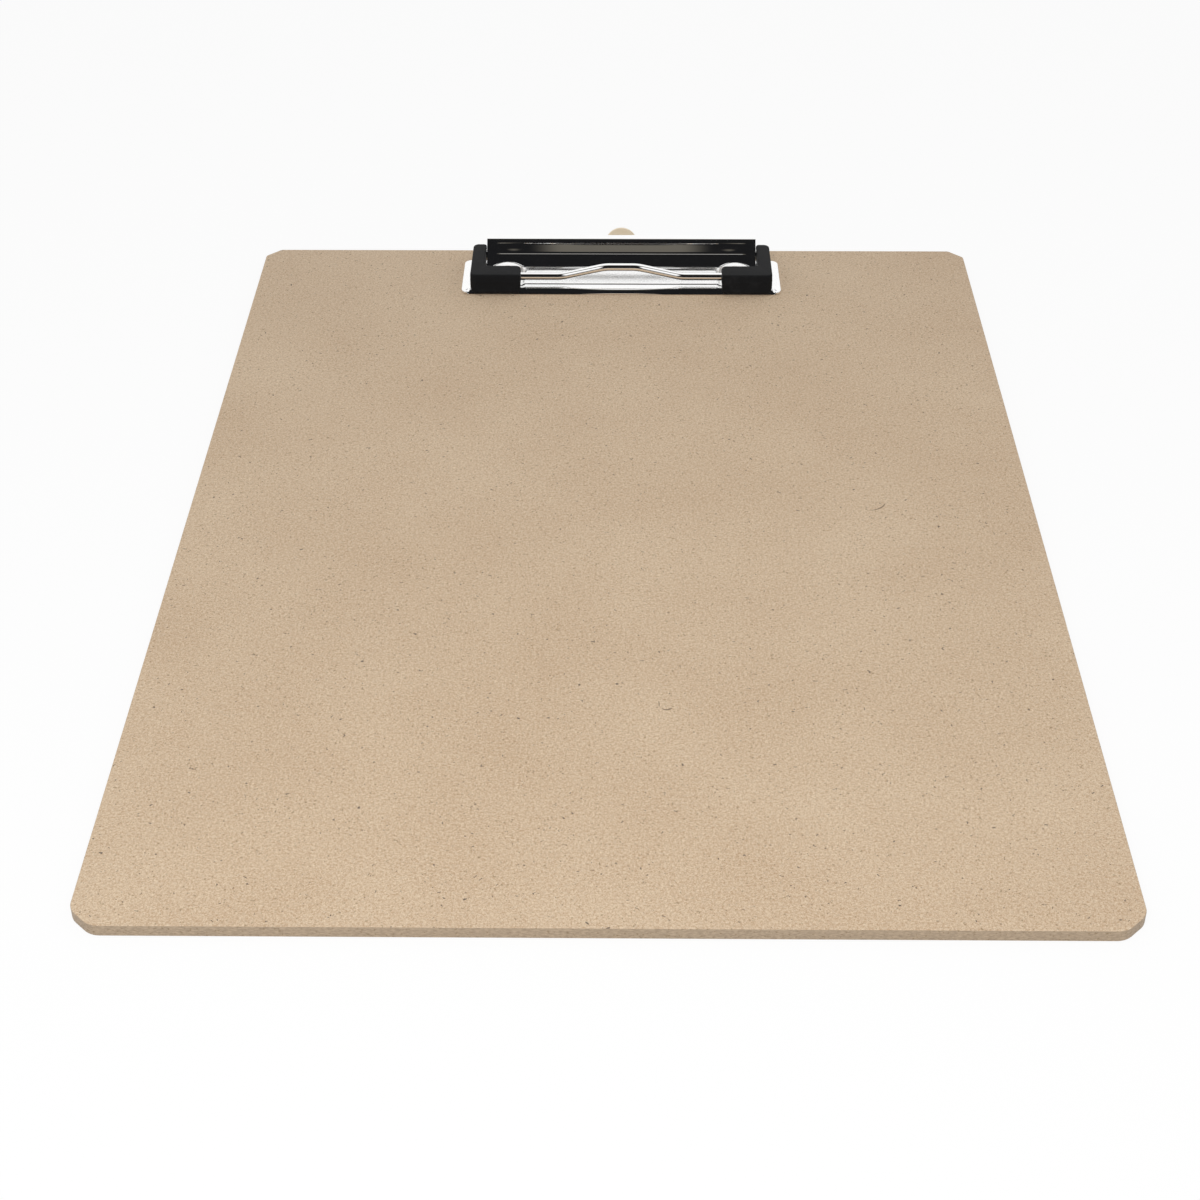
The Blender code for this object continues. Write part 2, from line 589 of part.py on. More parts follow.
def bail_half():
    """Right half of the bail's centre line, from its cranked tip to the middle of the hump."""
    tip = HINGE + Vector((math.cos(CRANK_ANGLE), math.sin(CRANK_ANGLE))) * CRANK_LENGTH
    front = Vector((BAIL_FRONT_SETBACK, HINGE_HEIGHT))
    crest = front + Vector((0.0, HUMP_RISE))
    corners = [place(CRANK_X, tip), place(CRANK_X, HINGE), place(BAIL_HALF, HINGE),
               place(BAIL_HALF, front), place(HUMP_BASE_HALF, front), place(HUMP_CREST_HALF, crest),
               place(0.0, crest)]
    crank_bend = WIRE_RADIUS + SEAT_GAP
    radii = [crank_bend, WIRE_BEND_RADIUS, WIRE_BEND_RADIUS, HUMP_BEND_RADIUS, HUMP_BEND_RADIUS]
    return fillet(corners, radii)


def mirrored(points):
    """Points on the other side of the clip's middle."""
    return [Vector((2 * CLIP_OFFSET - p.x, p.y, p.z)) for p in points]


def make_bail(material):
    half = bail_half()
    whole = half + mirrored(half[:-1])[::-1]
    return tube_mesh("bail", whole, WIRE_RADIUS, WIRE_SIDES, material)


def grip_cutters(name, front_low, rear):
    """Space under a grip, hugging the bead, and space ahead of its sloped front face."""
    low = FIELD_TOP + RUN_GAP
    high = HINGE_HEIGHT + GRIP_CROWN
    roll = FIELD_TOP - SEAT_GAP
    hug = roll + RUN_GAP
    start = math.pi - math.asin((GRIP_SKIRT_FOOT - SEAT_GAP) / hug)
    bow = arc((roll, SEAT_GAP), hug, start, math.pi / 2, 2 * ARC_STEPS)
    under = [Vector((bow[0].x, -low))] + bow + [Vector((rear + low, low)), Vector((rear + low, -low))]
    top_front = BAIL_FRONT_SETBACK - GRIP_FRONT_DEPTH / 2
    way = (Vector((top_front, high)) - Vector((front_low, GRIP_SKIRT_FOOT))).normalized()
    above = Vector((top_front, high)) + way * low
    below = Vector((front_low, GRIP_SKIRT_FOOT)) - way * low
    ahead = [below, above, Vector((below.x - high, above.y)), Vector((below.x - high, below.y))]
    wide = BAIL_HALF + GRIP_SIDE_WIDTH
    return (section_prism(f"{name}_under", under[::-1], -wide, wide),
            section_prism(f"{name}_ahead", ahead, -wide, wide))


def make_grip(name, sign, material):
    """Rubber corner over the bail: front arm with a skirt over the bead, side arm and the wire's tunnel."""
    outer = BAIL_HALF + GRIP_SIDE_WIDTH / 2
    inner = BAIL_HALF - GRIP_SIDE_WIDTH / 2
    front_low = -RUN_GAP - GRIP_SKIRT
    front = PLATE_FRONT_Y + front_low
    back = PLATE_FRONT_Y + BAIL_FRONT_SETBACK + GRIP_FRONT_DEPTH / 2
    rear = PLATE_FRONT_Y + HINGE_DEPTH + GRIP_TAIL
    corners = [(outer - GRIP_FRONT_LENGTH, front, GRIP_END_RADIUS), (outer, front, GRIP_CORNER_RADIUS),
               (outer, rear, GRIP_CORNER_RADIUS), (inner, rear, GRIP_END_RADIUS),
               (inner, back, GRIP_END_RADIUS),
               (outer - GRIP_FRONT_LENGTH, back, GRIP_CORNER_RADIUS)]
    outline = rounded_outline(corners)
    if sign < 0:
        outline = [Vector((-p.x, p.y)) for p in outline][::-1]
    low = BOARD_THICKNESS + GRIP_SKIRT_FOOT
    high = BOARD_THICKNESS + HINGE_HEIGHT + GRIP_CROWN
    grip = plan_prism(name, outline, low, high, material)
    edges = grip.modifiers.new("soft_edges", 'BEVEL')
    edges.width = GRIP_EDGE_RADIUS
    edges.segments = 2
    edges.limit_method = 'ANGLE'
    edges.angle_limit = math.radians(60.0)
    for cutter in grip_cutters(name, front_low, HINGE_DEPTH + GRIP_TAIL):
        combine(grip, cutter, 'DIFFERENCE')
    flat = [p for p in bail_half() if p.z < HINGE_POINT.z + SEAT_GAP]
    wire = [p for p in flat if p.x - CLIP_OFFSET > HUMP_BASE_HALF]
    past = [Vector((CLIP_OFFSET + HUMP_BASE_HALF, wire[-1].y, wire[-1].z))]
    route = wire + past
    if sign < 0:
        route = mirrored(route)
    tunnel = tube_mesh(f"{name}_tunnel", route, WIRE_RADIUS + MOULD_CLEARANCE, WIRE_SIDES)
    combine(grip, tunnel, 'DIFFERENCE')
    return grip


def spring_route():
    """Centre line of the right spring: fixed leg on the plate's rear edge, coil, hook behind the crank."""
    crank_way = Vector((math.cos(CRANK_ANGLE), math.sin(CRANK_ANGLE)))
    crank_back = Vector((crank_way.y, -crank_way.x))
    stand_off = WIRE_RADIUS + SEAT_GAP + SPRING_WIRE / 2
    hook = crank_way * (CRANK_LENGTH / 2) + crank_back * stand_off
    foot = Vector((HINGE_INSET + SEAT_GAP + SPRING_WIRE / 2, SPRING_LEG_FOOT - HINGE_HEIGHT))
    hook_angle = math.atan2(hook.y, hook.x) - math.acos(COIL_RADIUS / hook.length)
    foot_angle = math.atan2(foot.y, foot.x) + math.acos(COIL_RADIUS / foot.length)
    sweep = hook_angle - foot_angle + math.tau * SPRING_TURNS
    count = round(CURL_POINTS * sweep / math.tau)
    route = [place(COIL_START, HINGE + foot)]
    for i in range(count + 1):
        angle = foot_angle + sweep * i / count
        x = COIL_START + (COIL_END - COIL_START) * i / count
        route.append(place(x, HINGE + Vector((math.cos(angle), math.sin(angle))) * COIL_RADIUS))
    corner = place(COIL_END, HINGE + hook)
    tip = place(CRANK_X - WIRE_RADIUS, HINGE + hook)
    return route + fillet([route[-1], corner, tip], [SPRING_HOOK_BEND], 3)[1:]


def least_gap(route, diameter):
    """Least gap between turns: points nearer than one turn along the wire are left out."""
    apart = CURL_POINTS - 2
    gaps = [(a - b).length for i, a in enumerate(route) for b in route[i + apart:]]
    return min(gaps) - diameter


def make_springs(material):
    route = spring_route()
    print(f"spring: least gap to itself {least_gap(route, SPRING_WIRE) / MM:.2f} mm")
    tube_mesh("spring_right", route, SPRING_WIRE / 2, 1, material)
    tube_mesh("spring_left", mirrored(route), SPRING_WIRE / 2, 1, material)


def make_hanger(material):
    """Sliding strip with a turned-up round lip, a nail hole and a wide foot that stops in the plate."""
    lip_back = CLIP_SETBACK + HANGER_OVERHANG
    base = SEAT_GAP
    tip = HANGER_LIP_HEIGHT
    corners = [Vector((HANGER_FRONT + HANGER_FOOT_LENGTH / 2, base + HANGER_SHEET)),
               Vector((lip_back - HANGER_SHEET, base + HANGER_SHEET)),
               Vector((lip_back - HANGER_SHEET, tip + SEAT_GAP))]
    path = fillet(corners, [HANGER_BEND_RADIUS])
    half = HANGER_WIDTH / 2
    hanger = section_prism("hanger", sheet_section(path, HANGER_SHEET), -half, half, material)
    reach = half + SEAT_GAP / 4
    crown = arc((0.0, BOARD_THICKNESS + tip - reach), reach, math.pi, 0.0, 2 * ARC_STEPS)
    outline = [Vector((reach, 0.0)), Vector((-reach, 0.0))] + crown
    front_y = PLATE_FRONT_Y - SEAT_GAP
    rear_y = PLATE_FRONT_Y + lip_back + SEAT_GAP
    rounder = prism("hanger_lip_outline", outline, lambda p: Vector((CLIP_OFFSET + p.x, front_y, p.y)),
                    lambda p: Vector((CLIP_OFFSET + p.x, rear_y, p.y)))
    combine(hanger, rounder, 'INTERSECT')
    foot_half = HANGER_FOOT_WIDTH / 2
    foot_front = PLATE_FRONT_Y + HANGER_FRONT
    foot = [Vector((-foot_half, foot_front)), Vector((foot_half, foot_front)),
            Vector((foot_half, foot_front + HANGER_FOOT_LENGTH)),
            Vector((-foot_half, foot_front + HANGER_FOOT_LENGTH))]
    coining = SEAT_GAP / 4
    foot_low = BOARD_THICKNESS + base + coining
    foot_high = BOARD_THICKNESS + base + HANGER_SHEET - coining
    combine(hanger, plan_prism("hanger_foot", foot, foot_low, foot_high), 'UNION')
    hole_y = PLATE_FRONT_Y + lip_back - HANGER_HOLE_SETBACK
    stretch = HANGER_HOLE_STRETCH / 2
    hole = arc((0.0, hole_y + stretch), HANGER_HOLE_RADIUS, 0.0, math.pi, 2 * ARC_STEPS)
    hole += arc((0.0, hole_y - stretch), HANGER_HOLE_RADIUS, math.pi, math.tau, 2 * ARC_STEPS)
    combine(hanger, plan_prism("hanger_hole", hole, 0.0, 2 * BOARD_THICKNESS), 'DIFFERENCE')
    return hanger


def hang_on(name, position, pieces):
    """Empty on a joint's axis that carries the pieces which move with it."""
    pivot = bpy.data.objects.new(name, None)
    bpy.context.collection.objects.link(pivot)
    pivot.location = position
    for piece in pieces:
        piece.parent = pivot
        piece.matrix_parent_inverse = Matrix.Translation(position).inverted()


def main():
    clear_scene()
    hardboard = make_material("hardboard", (0.55, 0.40, 0.25), 0.8, 0.0)
    plated = make_material("plated_steel", (0.78, 0.77, 0.75), 0.12, 1.0)
    spring_steel = make_material("spring_steel", (0.42, 0.41, 0.40), 0.3, 1.0)
    rubber = make_material("black_rubber", (0.012, 0.012, 0.013), 0.55, 0.0)
    make_board(hardboard)
    make_base_plate(plated)
    lever = make_lever(plated)
    bail = make_bail(plated)
    grips = [make_grip("grip_left", -1, rubber), make_grip("grip_right", 1, rubber)]
    make_springs(spring_steel)
    make_rivets(plated, spring_steel)
    hanger = make_hanger(plated)
    hang_on("jaw_pivot", HINGE_POINT, [lever, bail, *grips])
    hang_on("hanger_rail", place(0.0, (PLATE_DEPTH, SEAT_GAP)), [hanger])


main()
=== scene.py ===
import math
import bmesh
import bpy
import numpy as np
from mathutils import Matrix, Vector


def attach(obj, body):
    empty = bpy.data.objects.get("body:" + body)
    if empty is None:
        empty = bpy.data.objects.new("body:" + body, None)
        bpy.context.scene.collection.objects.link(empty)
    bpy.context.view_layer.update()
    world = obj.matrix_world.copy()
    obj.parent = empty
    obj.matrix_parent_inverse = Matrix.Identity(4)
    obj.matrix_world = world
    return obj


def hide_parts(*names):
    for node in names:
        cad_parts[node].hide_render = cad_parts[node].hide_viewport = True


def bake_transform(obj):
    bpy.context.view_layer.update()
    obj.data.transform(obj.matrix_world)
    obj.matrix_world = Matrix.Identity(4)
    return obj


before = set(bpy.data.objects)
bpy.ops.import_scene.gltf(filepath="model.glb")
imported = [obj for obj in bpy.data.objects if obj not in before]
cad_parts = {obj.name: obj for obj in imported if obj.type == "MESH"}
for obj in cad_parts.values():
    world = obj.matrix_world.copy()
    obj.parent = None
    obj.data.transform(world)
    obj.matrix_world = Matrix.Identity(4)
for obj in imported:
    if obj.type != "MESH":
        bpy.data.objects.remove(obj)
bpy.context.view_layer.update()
mm = 0.001
print("frame loaded:", len(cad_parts), "nodes")

# lines that the clip's pieces share, in mm: x runs right from the clip's middle, depth d back from
# the plate's front edge, height z up from the board's upper face
clip = {
    "middleX": 2.3, "frontY": 127.15, "boardTop": 3.0, "hingeD": 21.8, "hingeZ": 4.1, "seat": 0.2,
    "flatTop": 0.9, "fieldTop": 1.7, "wireR": 1.25, "pinGap": 0.1, "moveGap": 0.3, "bailHalf": 45.85,
    "rivetX": 36.7, "rivetD": 14.2,
}
hinge = np.array([clip["hingeD"], clip["hingeZ"]])

# how finely every mesh is welded (m), and the least length that is divided by
weld = {"doubles": 1e-7, "slivers": 1e-8, "least": 1e-12}


# mesh helpers, all on whole arrays
def atClip(x, d, z):
    # world point of a section point (d, z) at x
    x, d, z = np.broadcast_arrays(x, d, z)
    return np.stack([clip["middleX"] + x, clip["frontY"] + d, clip["boardTop"] + z], -1) * mm


def pairs(a, b):
    # points of a plane from two columns
    return np.stack(np.broadcast_arrays(a, b), -1)


def around(sides):
    # angles spaced evenly round a circle
    return np.linspace(0, 2 * np.pi, sides, endpoint=False)


def mirrored(*runs, decimals=4):
    # stations of the right half, sorted, and their mirror images before them
    half = np.unique(np.round(np.concatenate(runs), decimals))
    return np.concatenate([-half[:0:-1], half])


def unit(v):
    return v / np.maximum(np.linalg.norm(v, axis=-1, keepdims=True), weld["least"])


def ease(t):
    # smoothstep, 3t^2 - 2t^3
    t = np.clip(t, 0.0, 1.0)
    return t * t * (3.0 - 2.0 * t)


def between(value, low, high):
    # smoothstep of a value from low to high
    return ease((value - low) / (high - low))


def quads(nu, nv, wrapU=False, wrapV=False):
    # faces of a nu by nv grid, closed round either way
    i = np.arange(nu if wrapU else nu - 1)[:, None]
    j = np.arange(nv if wrapV else nv - 1)[None, :]
    up, over = (i + 1) % nu, (j + 1) % nv
    return np.stack([i * nv + j, up * nv + j, up * nv + over, i * nv + over], -1).reshape(-1, 4)


def gridPart(points, wrapU=False, wrapV=False, caps=False):
    # grid of points (nu, nv, 3) with its faces; caps close the first and last row
    nu, nv = points.shape[:2]
    faces = quads(nu, nv, wrapU, wrapV).tolist()
    if caps:
        faces.append(list(range(nv))[::-1])
        faces.append(list(range((nu - 1) * nv, nu * nv)))
    return points.reshape(-1, 3), faces


def stackPart(loops):
    # closed loops (levels, n, 3) one after another, with a face on each end
    return gridPart(loops, wrapV=True, caps=True)


def addObject(name, data):
    made = bpy.data.objects.new(name, data)
    bpy.context.collection.objects.link(made)
    return made


def makePiece(name, parts, finish, body, stands=None, sharp=38.0, blendTo=None):
    # one welded mesh of all parts, riding on a body; with blendTo the piece is baked in place and rides on
    # no body
    verts, faces, base = [], [], 0
    for points, cells in parts:
        verts.append(points)
        faces += [[k + base for k in cell] for cell in cells]
        base += len(points)
    mesh = bpy.data.meshes.new(name)
    mesh.from_pydata(np.concatenate(verts).tolist(), [], faces)
    bm = bmesh.new()
    bm.from_mesh(mesh)
    bmesh.ops.remove_doubles(bm, verts=bm.verts, dist=weld["doubles"])
    bmesh.ops.dissolve_degenerate(bm, edges=bm.edges, dist=weld["slivers"])
    bmesh.ops.recalc_face_normals(bm, faces=bm.faces)
    bm.to_mesh(mesh)
    bm.free()
    mesh.shade_smooth()
    mesh.set_sharp_from_angle(angle=math.radians(sharp))
    mesh.materials.append(finish)
    piece = addObject(name, mesh)
    if blendTo:
        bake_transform(piece)
    else:
        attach(piece, body)
    if stands:
        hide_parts(stands)
    return piece


def filletLoop(corners, radii, steps=10):
    # closed loop, each corner an arc: centre = corner + bisector * r / sin(half angle)
    p = np.asarray(corners, float)
    r = np.asarray(radii, float)[:, None]
    back, ahead = unit(np.roll(p, 1, 0) - p), unit(np.roll(p, -1, 0) - p)
    half = 0.5 * np.arccos(np.clip((back * ahead).sum(1, keepdims=True), -1, 1))
    centre = p + unit(back + ahead) * (r / np.sin(half))
    first = p + back * (r / np.tan(half)) - centre
    last = p + ahead * (r / np.tan(half)) - centre
    turn = (np.pi - 2 * half)[:, None]
    t = np.linspace(0, 1, steps)[None, :, None]
    arcs = (first[:, None] * np.sin((1 - t) * turn) + last[:, None] * np.sin(t * turn)) / np.sin(turn)
    return (centre[:, None] + arcs).reshape(-1, p.shape[1])


def filletPath(points, radii, steps=16, endR=1e-6):
    # open path in space, its inner corners turned into arcs in the same way
    p = np.asarray(points, float)
    ring = filletLoop(p, np.concatenate([[endR], radii, [endR]]), steps)
    return np.concatenate([p[:1], ring[steps:-steps], p[-1:]])


def outwards(loop):
    # outward normals of a closed plan loop that runs anticlockwise
    t = unit(np.roll(loop, -1, 0) - np.roll(loop, 1, 0))
    return np.stack([t[:, 1], -t[:, 0]], -1)


def tube(path, radius, sides=24, lean=(0.36, 0.48, 0.80)):
    # circle carried along a path: point = path + r * (n cos a + b sin a)
    t = unit(np.gradient(path, axis=0))
    lean = np.asarray(lean)
    n = unit(lean - (t @ lean)[:, None] * t)
    b = np.cross(t, n)
    a = around(sides)[None, :, None]
    r = np.broadcast_to(radius, len(path))[:, None, None]
    return path[:, None] + r * (np.cos(a) * n[:, None] + np.sin(a) * b[:, None])


def wirePart(path, radius, sides=24, soft=0.3, steps=5):
    # wire with softly rounded ends: the radius closes over a short run, soft * radius, at each end
    t0, t1 = unit(path[1] - path[0]), unit(path[-1] - path[-2])
    q = np.linspace(0, 1, steps)[:-1]
    run = soft * radius
    head = path[0] + t0 * (run * q[:, None])
    tail = path[-1] - t1 * (run * q[::-1, None])
    full = np.concatenate([head, path[1:-1], tail])
    close = 1 - soft * (1 - np.sqrt(1 - (1 - q) ** 2))
    r = radius * np.concatenate([close, np.ones(len(path) - 2), close[::-1]])
    return stackPart(tube(full, r, sides))


def sheetPart(x, front, under, thickness, bulge=0.10, steps=7):
    # bent sheet over stations x; its closed section is front face, rounded edge, back face, rounded edge.
    # front and under are (x, n, 2), under without the finer marks; back = under + normal * thickness
    t = unit(np.gradient(under, axis=-2))
    n = np.stack([t[..., 1], -t[..., 0]], -1)
    back = under + n * thickness
    a = np.linspace(-np.pi / 2, np.pi / 2, steps)[1:-1, None]

    def edge(k, way):
        middle = (front[..., k, :] + back[..., k, :])[..., None, :] / 2
        across = n[..., k, :][..., None, :] * (thickness / 2)
        along = t[..., k, :][..., None, :] * (bulge * way)
        return middle + across * (np.sin(a) * way) + along * np.cos(a)

    loop = np.concatenate([front, edge(-1, 1.0), back[..., ::-1, :], edge(0, -1.0)], -2)
    return stackPart(atClip(x[:, None], loop[..., 0], loop[..., 1]))


# ears: flat plates round the hinge line, on the base plate and on the lever
ear = {
    "radius": 2.2, "sides": 144, "edge": 0.12, "edgeSteps": 4, "ways": 1440, "leastLean": 0.02, "far": 1e9,
}


def hullRadius(theta, radius, feet):
    # polar radius of the hull of a circle and a few points: least of support / cos over all directions
    phi = around(ear["ways"])
    ways = np.stack([np.cos(phi), np.sin(phi)], 0)
    support = np.maximum(radius, (np.asarray(feet) @ ways).max(0))
    lean = np.cos(theta[:, None] - phi[None, :])
    least = ear["leastLean"]
    return np.where(lean > least, support / np.maximum(lean, least), ear["far"]).min(1)


def earPart(low, high, feet):
    # rounded rectangle section from the bore to the hull, carried round the hinge line by polar angle
    theta = around(ear["sides"])
    outer = hullRadius(theta, ear["radius"], feet)
    box = filletLoop([(0, 0), (1, 0), (1, 1), (0, 1)], [ear["edge"]] * 4, ear["edgeSteps"])
    bore = clip["wireR"] + clip["pinGap"]
    r = bore + (outer[:, None] - bore) * box[None, :, 0]
    x = low + (high - low) * box[None, :, 1]
    d = hinge[0] + r * np.cos(theta)[:, None]
    z = hinge[1] + r * np.sin(theta)[:, None]
    return gridPart(atClip(x, d, z), wrapU=True, wrapV=True)


def earPair(inner, outer, feet):
    return [earPart(-outer, -inner, feet), earPart(inner, outer, feet)]


# shader helpers
def join(tree, socket, value):
    if isinstance(value, Wire):
        tree.links.new(value.socket, socket)
    else:
        socket.default_value = value


class Wire:
    # an output socket that takes part in sums like a number
    def __init__(self, tree, socket):
        self.tree, self.socket = tree, socket

    def math(self, operation, *others, swap=False):
        node = self.tree.nodes.new("ShaderNodeMath")
        node.operation = operation
        values = (*others, self) if swap else (self, *others)
        for socket, value in zip(node.inputs, values):
            join(self.tree, socket, value)
        return Wire(self.tree, node.outputs[0])

    def __add__(self, other):
        return self.math("ADD", other)

    def __sub__(self, other):
        return self.math("SUBTRACT", other)

    def __rsub__(self, other):
        return self.math("SUBTRACT", other, swap=True)

    def __mul__(self, other):
        return self.math("MULTIPLY", other)

    def __truediv__(self, other):
        return self.math("DIVIDE", other)

    def __rtruediv__(self, other):
        return self.math("DIVIDE", other, swap=True)

    def __neg__(self):
        return self.math("MULTIPLY", -1.0)

    __radd__, __rmul__ = __add__, __mul__

    def step(self, low, high, share=1.0):
        # 0 below low, share above high, smooth between
        t = ((self - low) / (high - low)).math("MINIMUM", 1.0).math("MAXIMUM", 0.0)
        return t * t * (3.0 - 2.0 * t) * share


class Finish:
    # one node tree; node() makes any node from its type, settings and inputs, i0 being the first input
    def __init__(self, name, owner=None):
        self.owner = owner or bpy.data.materials.new(name)
        self.owner.use_nodes = True
        self.tree = self.owner.node_tree

    def node(self, kind, settings=None, out=0, **inputs):
        made = self.tree.nodes.new("ShaderNode" + kind)
        for key, value in (settings or {}).items():
            setattr(made, key, value)
        for key, value in inputs.items():
            index = int(key[1:]) if key[0] == "i" and key[1:].isdigit() else key.replace("_", " ")
            join(self.tree, made.inputs[index], value)
        return Wire(self.tree, made.outputs[out])

    def place(self, scale=(1, 1, 1), turn=(0, 0, 0)):
        coords = self.node("TexCoord", out="Object")
        return self.node("Mapping", i0=coords, i3=scale, i2=turn)

    def noise(self, settings, where):
        scale, detail, rough, warp = settings
        return self.node("TexNoise", Vector=where, Scale=scale, Detail=detail, Roughness=rough,
                         Distortion=warp)

    def mix(self, share, a, b):
        return self.node("Mix", {"data_type": "RGBA", "blend_type": "MIX"}, out=2, i0=share, i6=a, i7=b)

    def bump(self, height, strength, distance):
        return self.node("Bump", i0=strength, i1=distance, Height=height)

    def rays(self, *kinds):
        # 1 on rays of any of these kinds
        first, *others = (self.node("LightPath", out="Is " + kind + " Ray") for kind in kinds)
        for other in others:
            first = first.math("MAXIMUM", other)
        return first

    def surface(self, **inputs):
        shader = self.tree.nodes["Principled BSDF"]
        for key, value in inputs.items():
            join(self.tree, shader.inputs[key.replace("_", " ")], value)
        return self.owner


def rgb(r, g, b):
    return (r, g, b, 1.0)


# finishes. In every look stand colours, noises as (scale, detail, roughness, distortion), runs as the
# stretch of a noise, the hairs' with a turn, steps as (from, to, share), bumps as (strength, metres)
hardboardLook = {
    "pale": rgb(0.797, 0.652, 0.472), "dark": rgb(0.418, 0.258, 0.143), "brown": rgb(0.205, 0.136, 0.060),
    "black": rgb(0.070, 0.052, 0.042), "cool": rgb(0.560, 0.470, 0.370),
    "edge": rgb(0.320, 0.240, 0.164), "edgePale": rgb(0.465, 0.355, 0.246),
    "broad": (22, 3, 0.55, 0), "felt": (1650, 4, 0.7, 0.5), "grain": (3000, 2, 0.6, 0),
    "speck": (1500, 1, 0.5, 0), "fleck": (1150, 1, 0.5, 0.6),
    "tint": (1500, 2, 0.5, 0), "tintTurn": (0.4, 0.3, 0.7),
    "hair": (1, 2, 0.5, 0.4), "hairRunA": ((420, 2900, 900), (0, 0, 0.5)),
    "hairRunB": ((2900, 460, 900), (0, 0, 0.3)),
    "layer": (1, 4, 0.65, 0), "layerRun": (900, 900, 3200),
    "toneOfFelt": 0.55, "toneOfGrain": 0.45, "toneOfBroad": 0.10, "toneStep": (0.28, 0.72),
    "tintStep": (0.45, 0.75, 0.22), "hairStep": (0.62, 0.74, 0.28), "speckStep": (0.68, 0.76, 0.65),
    "fleckStep": (0.725, 0.765, 0.85), "upStep": (0.35, 0.85), "layerStep": (0.32, 0.68),
    "edgeSpeckStep": (0.60, 0.72, 0.6), "rough": 0.72, "roughOfFelt": 0.14, "sheen": 0.12,
    "sheenRough": 0.45, "reliefOfFelt": 0.5, "reliefOfGrain": 0.4, "reliefOfLayers": 1.5,
    "bump": (0.35, 0.00012),
}


def hardboardFinish():
    # pressed wood fibre: even felted grain, brown specks, short hair-like streaks and a few dark flecks
    look, f = hardboardLook, Finish("hardboard")
    where = f.place()
    broad, felt, grain, speck, fleck = (
        f.noise(look[key], where) for key in ("broad", "felt", "grain", "speck", "fleck"))
    tint = f.noise(look["tint"], f.place(turn=look["tintTurn"]))
    hairA = f.noise(look["hair"], f.place(*look["hairRunA"]))
    hairB = f.noise(look["hair"], f.place(*look["hairRunB"]))
    tone = felt * look["toneOfFelt"] + grain * look["toneOfGrain"] + (broad - 0.5) * look["toneOfBroad"]
    colour = f.mix(tone.step(*look["toneStep"]), look["dark"], look["pale"])
    colour = f.mix(tint.step(*look["tintStep"]), colour, look["cool"])
    colour = f.mix(hairA.step(*look["hairStep"]) + hairB.step(*look["hairStep"]), colour, look["pale"])
    colour = f.mix(speck.step(*look["speckStep"]), colour, look["brown"])
    colour = f.mix(fleck.step(*look["fleckStep"]), colour, look["black"])
    # cut edges show end fibre: darker, layered and rougher
    normal = f.node("NewGeometry", out="Normal")
    upright = f.node("SeparateXYZ", out=2, i0=normal).math("ABSOLUTE")
    cut = 1.0 - upright.step(*look["upStep"])
    layers = f.noise(look["layer"], f.place(look["layerRun"]))
    edgeColour = f.mix(layers.step(*look["layerStep"]), look["edge"], look["edgePale"])
    edgeColour = f.mix(speck.step(*look["edgeSpeckStep"]), edgeColour, look["brown"])
    colour = f.mix(cut, colour, edgeColour)
    height = felt * look["reliefOfFelt"] + grain * look["reliefOfGrain"]
    height = height + cut * layers * look["reliefOfLayers"]
    return f.surface(Base_Color=colour, Roughness=look["rough"] + felt * look["roughOfFelt"],
                     Sheen_Weight=look["sheen"], Sheen_Roughness=look["sheenRough"],
                     Normal=f.bump(height, *look["bump"]))


# dull: more roughness on the plate from its crease backwards, as (from y, to y, share), y in m
platedLook = {
    "base": rgb(0.985, 0.984, 0.980), "pale": rgb(0.900, 0.897, 0.890), "rough": 0.04,
    "haze": (140, 4, 0.6, 0), "drawn": (1, 3, 0.6, 0), "drawnRun": (40, 2600, 2600),
    "pit": (2200, 2, 0.5, 0), "hazeStep": (0.50, 0.80, 0.35), "pitStep": (0.72, 0.80, 0.4),
    "hazeRough": (0.45, 0.85, 0.04), "drawnRough": (0.5, 0.8, 0.02), "dull": (0.1308, 0.1325, 0.14),
    "reliefOfDrawn": 0.12, "reliefOfHaze": 0.4, "bump": (0.06, 0.00005),
}


def platedFinish(name, dulled=False):
    # bright nickel plate: faint haze, draw lines along the strip and tiny pits
    look, f = platedLook, Finish(name)
    where = f.place()
    haze = f.noise(look["haze"], where)
    drawn = f.noise(look["drawn"], f.place(look["drawnRun"]))
    pits = f.noise(look["pit"], where).step(*look["pitStep"])
    colour = f.mix(haze.step(*look["hazeStep"]), look["base"], look["pale"])
    colour = f.mix(pits, colour, look["pale"])
    rough = look["rough"] + haze.step(*look["hazeRough"]) + drawn.step(*look["drawnRough"])
    if dulled:
        rough = rough + f.node("SeparateXYZ", out=1, i0=where).step(*look["dull"])
    height = drawn * look["reliefOfDrawn"] + haze * look["reliefOfHaze"] - pits
    return f.surface(Base_Color=colour, Metallic=1.0, Roughness=rough, Normal=f.bump(height, *look["bump"]))


# cream colours: painted reflection of the lit board, patchy with the haze
satinPaintedReflectionLook = {
    "base": rgb(1.000, 0.880, 0.680), "paintedWarmReflection": rgb(0.980, 0.840, 0.620), "metal": 0.10, "rough": 0.45,
    "haze": (320, 4, 0.6, 0), "rub": (1, 3, 0.6, 0), "rubRun": (2400, 160, 160),
    "hazeStep": (0.40, 0.80, 0.5), "roughOfHaze": 0.12, "roughOfRubs": 0.05, "bump": (0.08, 0.00004),
}


def satinFinish():
    # hanging strip: a duller skin with cross rubs; its cream colour is painted reflection, standing in for
    # the warm lit board that the lip mirrors
    look, f = satinPaintedReflectionLook, Finish("satinPlatePaintedReflection")
    haze = f.noise(look["haze"], f.place())
    rubs = f.noise(look["rub"], f.place(look["rubRun"]))
    colour = f.mix(haze.step(*look["hazeStep"]), look["base"], look["paintedWarmReflection"])
    rough = look["rough"] + haze * look["roughOfHaze"] + rubs * look["roughOfRubs"]
    return f.surface(Base_Color=colour, Metallic=look["metal"], Roughness=rough,
                     Normal=f.bump(rubs + haze, *look["bump"]))


